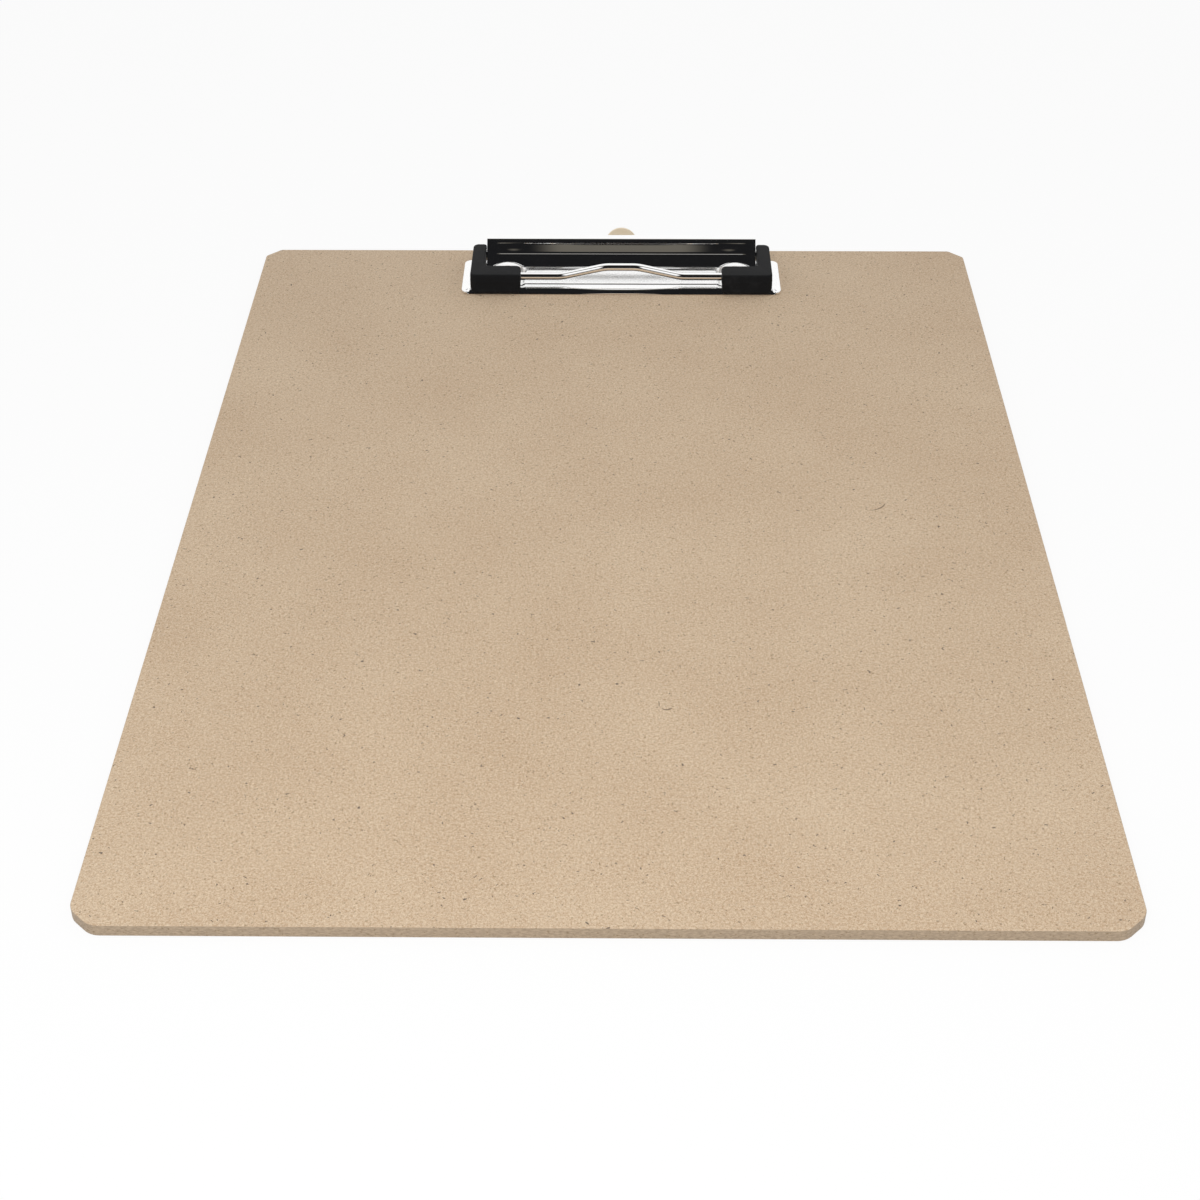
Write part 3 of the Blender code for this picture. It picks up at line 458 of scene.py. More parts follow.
rubberLook = {
    "base": rgb(0.0052, 0.0052, 0.0058), "grey": rgb(0.020, 0.020, 0.0215), "rough": 0.50, "gloss": 0.16,
    "grain": (2400, 3, 0.6, 0), "bloom": (260, 4, 0.65, 0), "scuff": (1, 3, 0.6, 0.5),
    "scuffRun": (260, 2400, 900), "bloomStep": (0.45, 0.85, 0.55), "scuffStep": (0.66, 0.78, 0.45),
    "roughOfGrain": 0.14, "roughOfBloom": 0.08, "bump": (0.30, 0.00006),
}


def rubberFinish():
    # moulded black rubber: fine grain, a little grey bloom and scuffs
    look, f = rubberLook, Finish("blackRubber")
    where = f.place()
    grain, bloom = f.noise(look["grain"], where), f.noise(look["bloom"], where)
    scuff = f.noise(look["scuff"], f.place(look["scuffRun"]))
    colour = f.mix(bloom.step(*look["bloomStep"]), look["base"], look["grey"])
    colour = f.mix(scuff.step(*look["scuffStep"]), colour, look["grey"])
    rough = look["rough"] + grain * look["roughOfGrain"] + bloom * look["roughOfBloom"]
    return f.surface(Base_Color=colour, Roughness=rough, Specular_IOR_Level=look["gloss"],
                     Normal=f.bump(grain, *look["bump"]))


springLook = {
    "base": rgb(0.860, 0.850, 0.830), "oiled": rgb(0.560, 0.535, 0.500), "rough": 0.24,
    "oil": (420, 3, 0.6, 0), "die": (3800, 2, 0.5, 0), "oilStep": (0.40, 0.75, 0.7),
    "roughOfOil": 0.14, "roughOfDie": 0.06, "bump": (0.12, 0.00003),
}


def springFinish():
    # zinc-plated spring wire: pale grey with duller oiled patches and fine die marks
    look, f = springLook, Finish("springSteel")
    where = f.place()
    oil, die = f.noise(look["oil"], where), f.noise(look["die"], where)
    colour = f.mix(oil.step(*look["oilStep"]), look["base"], look["oiled"])
    rough = look["rough"] + oil * look["roughOfOil"] + die * look["roughOfDie"]
    return f.surface(Base_Color=colour, Metallic=1.0, Roughness=rough, Normal=f.bump(die, *look["bump"]))


fibreLook = {
    "base": rgb(0.115, 0.080, 0.052), "pale": rgb(0.230, 0.165, 0.105), "shade": (1300, 3, 0.6, 0),
    "shadeStep": (0.35, 0.70), "rough": 0.82, "roughOfShade": 0.08,
}


def fibreFinish():
    # bark strands: dark brown, paler in patches
    look, f = fibreLook, Finish("barkFibre")
    shade = f.noise(look["shade"], f.place())
    colour = f.mix(shade.step(*look["shadeStep"]), look["base"], look["pale"])
    return f.surface(Base_Color=colour, Roughness=look["rough"] + shade * look["roughOfShade"])


hardboard = hardboardFinish()
plated = platedFinish("platedSteel")
platedSheet = platedFinish("platedSheet", dulled=True)
satin = satinFinish()
rubber = rubberFinish()
springSteel = springFinish()
fibre = fibreFinish()
print("finishes made:", len(bpy.data.materials))


# board: outline carried through eased edges, with recesses for the clinched rivets
board = {
    "halfW": 114.3, "halfL": 158.75, "thick": 3.0, "frontCut": 5.2, "frontR": 5.0, "rearCut": 4.4,
    "rearR": 1.5, "cornerSteps": 14, "easeR": 0.22, "easeSteps": 6, "recessR": 3.9, "recessZ": 1.45,
    "holeR": 2.1, "skin": 0.02, "wellSides": 48,
}


def makeBoard():
    # side = outline - normal * inset at each level; wells are circles on a stepped profile (r, z)
    w, l, t, e = board["halfW"], board["halfL"], board["thick"], board["easeR"]
    front, rear = board["frontCut"], board["rearCut"]
    right = np.array([(w - front, -l), (w, front - l), (w, l - rear), (w - rear, l)])
    radii = [board["frontR"]] * 2 + [board["rearR"]] * 2
    corners = np.concatenate([right, right[::-1] * (-1, 1)])
    loop = filletLoop(corners, radii + radii[::-1], board["cornerSteps"])
    a = np.linspace(0, np.pi / 2, board["easeSteps"])
    inset = np.concatenate([e * (1 - np.sin(a)), e * (1 - np.cos(a))])
    level = np.concatenate([e * (1 - np.cos(a)), t - e * (1 - np.sin(a))])
    plan = loop[None] - outwards(loop)[None] * inset[:, None, None]
    z = np.broadcast_to(level[:, None, None], plan.shape[:2] + (1,))
    rings = np.concatenate([plan, z], -1) * mm
    side = gridPart(rings, wrapV=True)
    # upper face in one cell, lower face filled round the two recesses
    top = (rings[-1], [list(range(len(loop)))])
    theta = around(board["wellSides"])
    circle = pairs(np.cos(theta), np.sin(theta))
    recessR, recessZ, holeR, roof = board["recessR"], board["recessZ"], board["holeR"], t - board["skin"]
    profile = np.array([(recessR, 0.0), (recessR, recessZ), (holeR, recessZ), (holeR, roof), (0.0, roof)])
    wells = []
    for sign in (-1, 1):
        centre = np.array([clip["middleX"] + sign * clip["rivetX"], clip["frontY"] + clip["rivetD"]])
        ring = centre + circle[None] * profile[:, None, :1]
        tall = np.broadcast_to(profile[:, None, 1:], ring.shape[:2] + (1,))
        wells.append(np.concatenate([ring, tall], -1) * mm)
    bm = bmesh.new()
    for rim in [rings[0]] + [well[0] for well in wells]:
        verts = [bm.verts.new(p) for p in rim]
        for k in range(len(verts)):
            bm.edges.new((verts[k - 1], verts[k]))
    bmesh.ops.triangle_fill(bm, edges=bm.edges, use_dissolve=False, use_beauty=True)
    bm.verts.index_update()
    under = (np.array([v.co for v in bm.verts]), [[v.index for v in face.verts] for face in bm.faces])
    bm.free()
    parts = [side, top, under] + [gridPart(well, wrapV=True) for well in wells]
    makePiece("boardPanel", parts, hardboard, "base", "board", sharp=50.0)


makeBoard()

# bark fibres: marks are the strands that stand out, each (x, y, length, half width, heading, bend)
fibres = {
    "count": 150, "seed": 11, "length": (0.5, 2.4), "trim": (0.4, 1.0), "half": (0.03, 0.07),
    "proud": 0.018, "leastThin": 0.05, "spanX": (-108, 108), "spanY": (-152, 120), "bend": 0.75,
    "steps": 9, "taper": 1.9,
    "marks": ((71.9, 3.9, 5.6, 0.16, 0.62, 0.55), (13.6, -84.1, 2.8, 0.17, -0.05, 1.0),
              (11.8, -82.8, 2.2, 0.09, 1.60, 0.1)),
}


def makeFibres():
    # flat four-sided strands pressed into the upper face, on a line whose heading turns by bend * 2u
    b, steps = fibres, fibres["steps"]
    rng = np.random.default_rng(b["seed"])
    n = b["count"]
    spot = np.stack([rng.uniform(*b["spanX"], n), rng.uniform(*b["spanY"], n)], -1)
    length = rng.uniform(*b["length"], n) * rng.uniform(*b["trim"], n)
    half = rng.uniform(*b["half"], n)
    heading = rng.uniform(0, np.pi, n)
    bend = rng.normal(0, b["bend"], n)
    table = np.concatenate([np.column_stack([spot, length, half, heading, bend]), np.array(b["marks"])])
    length, half, heading, bend = (table[:, k, None] for k in range(2, 6))
    u = np.linspace(-0.5, 0.5, steps)
    angle = heading + bend * u * 2
    ways = pairs(np.cos(angle), np.sin(angle)) * (length[..., None] / (steps - 1))
    line = table[:, None, :2] + np.cumsum(ways, 1) - ways.sum(1, keepdims=True) / 2
    thin = half * np.sqrt(np.clip(1 - (b["taper"] * u) ** 2, b["leastThin"], 1))
    across = pairs(-np.sin(angle), np.cos(angle))
    ring = np.array([(1, 0), (0, 1), (-1, 0), (0, -1)], float)
    flat = line[:, :, None] + across[:, :, None] * (thin[:, :, None, None] * ring[None, None, :, :1])
    tall = board["thick"] + b["proud"] * ring[None, None, :, 1:] * np.ones(flat.shape[:3] + (1,))
    points = np.concatenate([flat, tall], -1) * mm
    parts = [stackPart(strand) for strand in points]
    makePiece("boardFibres", parts, fibre, "base", sharp=80.0)


makeFibres()
print("board made")

# base plate. The crease is (depth d, half width, depth of the dent); stations are the mesh's columns
plate = {
    "half": 50.8, "depth": 22.4, "sheet": 0.7, "corner": 2.2, "beadEnd": 48.2, "beadBlend": 1.8,
    "beadRun": 2.6, "rollSteps": 13, "fineRun": 3.8, "fineSteps": 43, "fieldSteps": 6, "fieldHalf": 30.2,
    "fieldBlend": 2.0, "rearR": 1.0, "rearSteps": 9, "crease": (4.3, 0.256, 0.36),
    "slotHalf": 5.3, "slotTop": 1.05, "slotFall": 0.004, "earIn": 41.5, "earOut": 42.2,
    "earFeet": (4.2, 0.2), "earFootZ": 0.3,
    "bevelRun": 1.10, "bevelPower": 1.8, "bevelLeast": 0.15, "bevelSpan": (3.0, 18.0),
    "middleStations": (0.0, 1.5, 3.0), "slotStations": (-0.3, -0.04, 0.04, 0.3),
    "fieldStations": (6.6, 22), "blendStations": 11, "sideStations": (34.0, 8), "cornerStations": 17,
}


def makePlate():
    # three sections (d, z), a raised field, a side that falls behind the roll and a flat end, blended by
    # smoothsteps of |x| and carried as a bent sheet
    p, seat, flat, field = plate, clip["seat"], clip["flatTop"], clip["fieldTop"]
    roll = field - seat
    a = np.linspace(np.pi, np.pi / 2, p["rollSteps"])
    front = pairs(roll + roll * np.cos(a), seat + roll * np.sin(a))
    # towards the grips the roll flattens to a bevel, d = run (1 - cos^p), z = seat + roll sin^p
    c, h = np.abs(np.cos(a)) ** p["bevelPower"], np.sin(a) ** p["bevelPower"]
    bevel = pairs(p["bevelRun"] * (1 - c), seat + roll * h) - front
    d = np.linspace(roll, roll + p["fineRun"], p["fineSteps"])[1:]
    centre, width, deep = p["crease"]
    dent = deep * np.exp(-((d - centre) / width) ** 2)
    rear = p["depth"] - p["rearR"]
    run = np.linspace(d[-1], rear, p["fieldSteps"])[1:-1]
    b = np.linspace(np.pi / 2, 0, p["rearSteps"])
    turn = pairs(rear + p["rearR"] * np.cos(b), field - p["rearR"] + p["rearR"] * np.sin(b))
    tail = np.concatenate([pairs(run, field), turn, [(p["depth"], seat)]])
    plain = pairs(np.concatenate([run, rear + p["rearR"] * np.linspace(0, 1, len(turn) + 1)]), flat)
    fall = field + (flat - field) * ease((d - roll) / p["beadRun"])
    middle = np.concatenate([front, pairs(d, field), tail])
    side = np.concatenate([front, pairs(d, fall), plain])
    end = np.concatenate([pairs(roll * np.linspace(0, 1, len(front)), flat), pairs(d, flat), plain])
    fieldFrom, fieldColumns = p["fieldStations"]
    sideFrom, sideColumns = p["sideStations"]
    arc = np.sin(np.linspace(0, np.pi / 2, p["cornerStations"]))
    x = mirrored(p["middleStations"], p["slotHalf"] + np.array(p["slotStations"]),
                 np.linspace(fieldFrom, p["fieldHalf"], fieldColumns),
                 p["fieldHalf"] + p["fieldBlend"] * np.linspace(0, 1, p["blendStations"])[1:],
                 np.linspace(sideFrom, p["beadEnd"], sideColumns), p["half"] - p["corner"] * (1 - arc))
    toSide = ease((np.abs(x) - p["fieldHalf"]) / p["fieldBlend"])[:, None, None]
    toEnd = ease((np.abs(x) - p["beadEnd"]) / p["beadBlend"])[:, None, None]
    past = np.clip(np.abs(x) - (p["half"] - p["corner"]), 0, p["corner"])
    inset = (p["corner"] - np.sqrt(np.maximum(p["corner"] ** 2 - past ** 2, 0)))[:, None]
    overSlot = (np.abs(x) < p["slotHalf"])[:, None]

    def shaped(line):
        # ends run out flat, corners draw in, and the rear flange stops short over the hanging strip's slot
        line = line + (end - line) * toEnd
        line[..., 0] = inset + line[..., 0] * (p["depth"] - 2 * inset) / p["depth"]
        short = overSlot & (line[..., 0] > rear) & (line[..., 1] < p["slotTop"])
        drop = np.linspace(0, p["slotFall"], line.shape[1])[None]
        line[..., 1] = np.where(short, p["slotTop"] - drop, line[..., 1])
        return line

    # bevel and crease are pressed into the upper face alone
    under = middle + (side - middle) * toSide
    face = under.copy()
    flatter = p["bevelLeast"] + (1 - p["bevelLeast"]) * between(np.abs(x), *p["bevelSpan"])
    face[:, :len(front)] += bevel * flatter[:, None, None]
    face[:, len(front):len(front) + len(d), 1] -= dent * (1 - toSide[..., 0])
    body = sheetPart(x, shaped(face), shaped(under), p["sheet"])
    feet = pairs(p["depth"] - np.array(p["earFeet"]), seat + p["earFootZ"]) - hinge
    parts = [body] + earPair(p["earIn"], p["earOut"], feet)
    makePiece("basePlate", parts, platedSheet, "base", "base_plate")


makePlate()
print("base plate made")

# lever: s runs up the strip. Ridges are (s, half width, height), the dimple (x, half width, s, half height,
# depth), the swelling behind the groove (rise, fall, height)
lever = {
    "half": 43.4, "sheet": 0.7, "angle": 46.7, "reach": 3.0, "strip": 9.3, "flange": 3.2, "lip": 1.3,
    "bendR": 1.0, "grooveLow": 4.75, "grooveHigh": 7.5, "grooveDeep": 0.60, "grooveWall": 0.16,
    "grooveEnd": (10.0, 38.0), "ridges": ((3.92, 0.15, 0.06), (7.5, 0.15, 0.045)), "ridgeEnd": (39.0, 41.0),
    "dimple": (35.0, 2.4, 6.0, 0.75, 0.10), "notchDeep": 1.4, "notchChord": 9.0, "notchPast": 0.3,
    "drop": 0.26, "swell": ((4.2, 7.0), (7.2, 8.8), 0.48), "earSpan": (1.2, 8.2), "earSink": 0.45,
    "earInset": 0.03, "plainFrom": 3.4, "crownRun": 1.1, "crownFrom": 0.98, "crownSteps": 12,
    "rows": (9, 60, 10, 12), "columns": (15, 25, 43, 9), "endColumns": (1.0, 0.4, 0.1, 0.0),
}


def makeLever():
    # point = origin + up * s + into * dip(x, s): a stepped groove, ridges, dimples and notches in a tilted
    # strip, with a top flange and end ears
    v = lever
    phi = math.radians(v["angle"])
    up, into = np.array([math.cos(phi), math.sin(phi)]), np.array([math.sin(phi), -math.cos(phi)])
    reach = v["reach"] + v["sheet"]
    z0 = clip["fieldTop"] + clip["moveGap"] + v["sheet"] * math.cos(phi)
    origin = np.array([hinge[0] + ((z0 - hinge[1]) * math.cos(phi) - reach) / math.sin(phi), z0])
    chord, deep = v["notchChord"] / 2, v["notchDeep"]
    radius = (chord ** 2 + deep ** 2) / (2 * deep)
    across = chord + v["notchPast"]
    plainColumns, endColumns, notchColumns, ridgeColumns = v["columns"]
    x = mirrored(np.linspace(0, v["grooveEnd"][0], plainColumns), np.linspace(*v["grooveEnd"], endColumns),
                 clip["rivetX"] + np.linspace(-across, across, notchColumns),
                 np.linspace(*v["ridgeEnd"], ridgeColumns), v["half"] - np.array(v["endColumns"]))
    # lower edge: straight, with an arc cut out over each rivet
    off = np.abs(x) - clip["rivetX"]
    start = np.maximum(np.sqrt(np.maximum(radius ** 2 - off ** 2, 0)) - (radius - deep), -v["drop"])
    deepness = 1 - between(np.abs(x), *v["grooveEnd"])
    flat = v["strip"] - v["bendR"] * math.tan(phi / 2)
    low, high, wall, first = v["grooveLow"], v["grooveHigh"], v["grooveWall"], v["plainFrom"]
    stops = (0.0, first, high, high + wall, high + v["crownRun"])
    rows = [np.linspace(a, b, n)[1:] for a, b, n in zip(stops, stops[1:], v["rows"])]
    s = np.concatenate([[0.0], *rows, [flat]])
    s = np.where(s < first, start[:, None] + (first - start[:, None]) * (s / first), s)
    tilt = np.clip((s - low) / (high - low), 0, 1)
    dip = v["grooveDeep"] * tilt * (1 - ease((s - high) / wall)) * deepness[:, None]
    # a border ridge runs below the groove, one goes on from its upper edge, and a dimple ends each side
    fade = 1 - between(np.abs(x), *v["ridgeEnd"])
    for (centre, width, rise), share in zip(v["ridges"], (fade, fade * (1 - deepness))):
        dip = dip - rise * np.exp(-((s - centre) / width) ** 2) * share[:, None]
    atX, wideX, atS, wideS, deepest = v["dimple"]
    onX, onS = np.exp(-((np.abs(x) - atX) / wideX) ** 2), np.exp(-((s - atS) / wideS) ** 2)
    dip = dip + deepest * onX[:, None] * onS
    face = origin + up * s[..., None] + into * dip[..., None]
    # behind, the groove shows as a soft swelling
    riseSpan, fallSpan, swell = v["swell"]
    soft = swell * between(s, *riseSpan) * (1 - between(s, *fallSpan)) * deepness[:, None]
    behind = origin + up * s[..., None] + into * soft[..., None]
    # top bend, flange and turned-down lip, the same at every x
    top = origin + up * v["strip"]
    rear = top + np.array([v["flange"], 0.0])
    corners = [origin + up * flat * v["crownFrom"], top, rear, rear - np.array([0, v["lip"]])]
    crown = filletPath(corners, [v["bendR"]] * 2, v["crownSteps"])[2:]
    crown = np.broadcast_to(crown, (len(x),) + crown.shape)
    body = sheetPart(x, np.concatenate([face, crown], 1), np.concatenate([behind, crown], 1), v["sheet"])
    feet = np.array([origin + up * k + into * v["earSink"] for k in v["earSpan"]]) - hinge
    ears = earPair(v["half"] - v["sheet"], v["half"] - v["earInset"], feet)
    makePiece("leverStrip", [body] + ears, plated, "jaw", "lever", sharp=55.0)


makeLever()
print("lever made")

# bail: one wire from crank to crank, with the hump in its front bar
bail = {
    "crankX": 20.25, "crankLong": 3.6, "crankAngle": 60.0, "frontD": 4.8, "rise": 3.2, "baseHalf": 18.9,
    "crestHalf": 5.2, "bendR": 2.8, "humpR": 15.0, "crankR": 1.45, "bendSteps": 20, "sides": 32,
}


def makeBail():
    # right half as a path (x, d, z) with rounded corners, then its mirror image, carried as a round wire
    b, half = bail, clip["bailHalf"]
    a = math.radians(b["crankAngle"])
    tip = hinge + np.array([math.cos(a), math.sin(a)]) * b["crankLong"]
    front = (b["frontD"], hinge[1])
    crest = (b["frontD"], hinge[1] + b["rise"])
    stops = [(b["crankX"], *tip), (b["crankX"], *hinge), (half, *hinge), (half, *front),
             (b["baseHalf"], *front), (b["crestHalf"], *crest), (0.0, *crest)]
    path = filletPath(stops, [b["crankR"], b["bendR"], b["bendR"], b["humpR"], b["humpR"]], b["bendSteps"])
    whole = np.concatenate([path, path[-2::-1] * np.array([-1, 1, 1])])
    wire = wirePart(atClip(whole[:, 0], whole[:, 1], whole[:, 2]), clip["wireR"] * mm, b["sides"])
    makePiece("bailWire", [wire], plated, "jaw", "bail")


makeBail()

# grips: plan outlines stacked from the skirt's foot to the soft upper edge, round a leaning front face
grip = {
    "sideW": 4.3, "frontDeep": 7.0, "frontLong": 16.0, "tail": 1.9, "foot": 1.1, "low": 2.0, "high": 6.2,
    "footD": -0.7, "edgeR": 0.55, "footR": 0.18, "corner": 1.8, "end": 1.0, "ridge": 0.04, "ridgeRun": 0.25,
    "cornerSteps": 14, "footSteps": 5, "hugSteps": 14, "edgeSteps": 9,
}


def makeGrip(name, sign, node):
    # point = outline - normal * inset, drawn forwards by lean * (high - level) over the front arm
    g = grip
    outer, inner = clip["bailHalf"] + g["sideW"] / 2, clip["bailHalf"] - g["sideW"] / 2
    front = bail["frontD"] - g["frontDeep"] / 2
    back, rear = front + g["frontDeep"], hinge[0] + g["tail"]
    start = outer - g["frontLong"]
    corners = [(start, front), (outer, front), (outer, rear), (inner, rear), (inner, back), (start, back)]
    radii = [g["end"], g["corner"], g["corner"], g["end"], g["end"], g["corner"]]
    loop = filletLoop(corners, radii, g["cornerSteps"])
    out = outwards(loop)
    fade = np.clip((back - loop[:, 1]) / g["frontDeep"], 0, 1)
    lean = (front - g["footD"]) / (g["high"] - g["foot"])

    def leaning(level, inset):
        # outline at one height, least drawn forwards at the arm's back
        plan = loop - out * inset[:, None]
        return pairs(plan[:, 0], plan[:, 1] - lean * (g["high"] - level) * fade)

    # skirt: the outline cut off behind by the bead's roll, d = c - sqrt(R^2 - (z - seat)^2)
    roll, seat = clip["fieldTop"] - clip["seat"], clip["seat"]
    hugR = roll + clip["moveGap"]
    rings, levels = [], []
    q = np.linspace(0, np.pi / 2, g["footSteps"])
    a = np.linspace(math.asin((g["foot"] + g["footR"] - seat) / hugR), np.pi / 2, g["hugSteps"])
    shrinks = np.concatenate([g["footR"] * (1 - np.sin(q)), np.zeros(len(a) - 1)])
    heights = np.concatenate([g["foot"] + g["footR"] * (1 - np.cos(q)), seat + hugR * np.sin(a[1:])])
    for level, shrink in zip(heights, shrinks):
        hug = roll - math.sqrt(max(hugR ** 2 - (level - seat) ** 2, 0.0)) - shrink
        stretch = lean * (g["high"] - level) / g["frontDeep"]
        depth = (hug + stretch * back) / (1 + stretch) - front
        reach = [r - math.sqrt(max(r ** 2 - max(r - depth, 0.0) ** 2, 0.0))
                 for r in (g["end"], g["corner"])]
        plan = leaning(level, np.full(len(loop), shrink))
        x = np.clip(plan[:, 0], start + reach[0] + shrink, outer - reach[1] - shrink)
        rings.append(pairs(x, np.minimum(plan[:, 1], hug)))
        levels.append(level)
    # body: rounded lower edges, save in front, a fine parting ridge and rounded upper edges
    e, a = g["edgeR"], np.linspace(0, np.pi / 2, g["edgeSteps"])
    sides, every = 1 - np.clip(-out[:, 1], 0, 1), np.ones(len(loop))
    bow = np.linspace(-np.pi / 2, np.pi / 2, g["edgeSteps"])
    middle = (g["low"] + g["high"]) / 2
    bands = [(g["low"] + e * (1 - np.cos(k)), sides * e * (1 - np.sin(k))) for k in a]
    bands += [(middle + g["ridgeRun"] * k, every * -g["ridge"] * np.cos(k)) for k in bow]
    bands += [(g["high"] - e * (1 - np.sin(k)), every * e * (1 - np.cos(k))) for k in a]
    for level, inset in bands:
        rings.append(leaning(level, inset))
        levels.append(level)
    plan = np.array(rings)
    stack = atClip(sign * plan[..., 0], plan[..., 1], np.array(levels)[:, None])
    makePiece(name, [stackPart(stack)], rubber, "jaw", node, sharp=60.0)


makeGrip("gripLeft", -1, "grip_left")
makeGrip("gripRight", 1, "grip_right")
print("bail and grips made")

# springs: coil with a leg on the plate's rear edge and a hook behind the crank
spring = {
    "wire": 0.7, "meanR": 1.75, "startX": 32.15, "endX": 22.15, "turns": 8, "perTurn": 40, "hookR": 0.9,
    "foot": (1.15, 0.55), "off": 1.8, "legSteps": 9, "hookSteps": 12, "sides": 14,
}


def springPath():
    # helix (x, d, z) = (x, hinge + r cos a, hinge + r sin a), with straight ends on tangents to it
    p, a = spring, math.radians(bail["crankAngle"])
    along, behind = np.array([math.cos(a), math.sin(a)]), np.array([math.sin(a), -math.cos(a)])
    hook = along * bail["crankLong"] / 2 + behind * p["off"]
    foot = np.array([p["foot"][0], p["foot"][1] - hinge[1]])
    a1 = math.atan2(hook[1], hook[0]) - math.acos(p["meanR"] / np.linalg.norm(hook))
    a0 = math.atan2(foot[1], foot[0]) + math.acos(p["meanR"] / np.linalg.norm(foot))
    angle = np.linspace(a0, a1 + 2 * np.pi * p["turns"], p["perTurn"] * p["turns"])
    x = np.linspace(p["startX"], p["endX"], len(angle))
    coil = np.stack([x, hinge[0] + p["meanR"] * np.cos(angle), hinge[1] + p["meanR"] * np.sin(angle)], -1)
    leg = np.linspace([p["startX"], *(hinge + foot)], coil[0], p["legSteps"])[:-1]
    corner = np.array([p["endX"], *(hinge + hook)])
    tip = np.array([bail["crankX"] - clip["wireR"], *(hinge + hook)])
    hooked = filletPath(np.array([coil[-1], corner, tip]), [p["hookR"]], p["hookSteps"])
    return np.concatenate([leg, coil, hooked[1:]])


def makeSpring(name, sign, node):
    path = springPath()
    points = atClip(sign * path[:, 0], path[:, 1], path[:, 2])
    first, last = atClip(sign * np.array([spring["startX"], spring["endX"]]), path[0, 1], 0.0).tolist()
    ends = {"body": "jaw", "start": first, "end": last}
    wire = wirePart(points, spring["wire"] * mm / 2, spring["sides"])
    makePiece(name, [wire], springSteel, "base", node, blendTo=ends)


makeSpring("springLeft", -1, "spring_left")
makeSpring("springRight", 1, "spring_right")
print("springs made")

# rivets and washers: turned profiles (r, z), z above the board's underside
rivet = {
    "headR": 4.2, "headH": 1.5, "headShare": 0.985, "rim": 0.05, "shankR": 1.9, "tailR": 2.9,
    "tail": (0.05, 0.55), "boreR": 1.1, "boreH": 1.65, "boreTip": 0.25, "mouthR": 0.35,
    "headSteps": 16, "tailSteps": 9, "mouthSteps": 7, "washerR": 3.7, "washerHole": 2.1,
    "washer": (0.75, 1.25), "washerEdge": 0.08, "washerSteps": 5, "sides": 64,
}


def turned(profile, sign):
    # profile spun about an upright line through the rivet's centre, (r cos a, r sin a, z)
    theta = around(rivet["sides"])
    profile = np.asarray(profile)
    x = clip["middleX"] + sign * clip["rivetX"] + profile[:, None, 0] * np.cos(theta)
    y = clip["frontY"] + clip["rivetD"] + profile[:, None, 0] * np.sin(theta)
    z = np.broadcast_to(profile[:, None, 1], x.shape)
    return np.stack([x, y, z], -1) * mm


def makeRivet(name, sign, node):
    # dome of one sphere, shank, curled tail and a bore that ends in a shallow cone
    r = rivet
    seat = clip["boardTop"] + clip["flatTop"] + clip["seat"]
    big = (r["headR"] ** 2 + r["headH"] ** 2) / (2 * r["headH"])
    a = np.linspace(0, math.asin(r["headR"] / big) * r["headShare"], r["headSteps"])
    dome = pairs(big * np.sin(a), seat + r["headH"] - big + big * np.cos(a))
    rim = [(r["headR"], seat + r["rim"]), (r["headR"] - r["rim"], seat)]
    low, high = r["tail"]
    b = np.linspace(np.pi / 2, -np.pi / 2, r["tailSteps"])
    soft = (high - low) / 2
    curl = pairs(r["tailR"] - soft + soft * np.cos(b), (low + high) / 2 + soft * np.sin(b))
    c, lip = np.linspace(-np.pi / 2, 0, r["mouthSteps"]), r["mouthR"]
    mouth = pairs(r["boreR"] + lip - lip * np.cos(c), low + lip + lip * np.sin(c))
    bore = [(r["boreR"], r["boreH"]), (0.0, r["boreH"] + r["boreTip"])]
    profile = np.concatenate([dome, rim, [(r["shankR"], seat), (r["shankR"], high)], curl, mouth, bore])
    makePiece(name, [gridPart(turned(profile, sign), wrapV=True)], plated, "base", node)


def makeWasher(name, sign, node):
    # rectangle with eased corners, spun into a ring
    hole, rim = rivet["washerHole"], rivet["washerR"]
    low, high = rivet["washer"]
    corners = [(hole, low), (rim, low), (rim, high), (hole, high)]
    section = filletLoop(corners, [rivet["washerEdge"]] * 4, rivet["washerSteps"])
    ring = gridPart(turned(section, sign), wrapU=True, wrapV=True)
    makePiece(name, [ring], springSteel, "base", node)


for side, sign in (("Left", -1), ("Right", 1)):
    makeRivet("rivet" + side, sign, "rivet_" + side.lower())
    makeWasher("rivetWasher" + side, sign, "rivet_washer_" + side.lower())
print("rivets and washers made")

# hanging strip: flat patches round the nail hole, bend and round lip, then thickened
hanger = {
    "half": 5.0, "sheet": 0.6, "front": 6.0, "footHalf": 7.5, "footLong": 3.0, "holeR": 3.8, "holeD": 26.2,
    "stretch": 1.5, "eyeHalf": 6.2, "midZ": 0.5, "lipD": 33.9, "bendR": 1.3, "bendLead": 0.1, "tip": 7.0,
    "columns": 17, "footRows": 3, "runRows": 8, "eyeRings": 5, "bendSteps": 9, "lipRows": 17,
    "edge": 0.1, "edgeSegments": 2, "edgeAngle": 60.0,
}


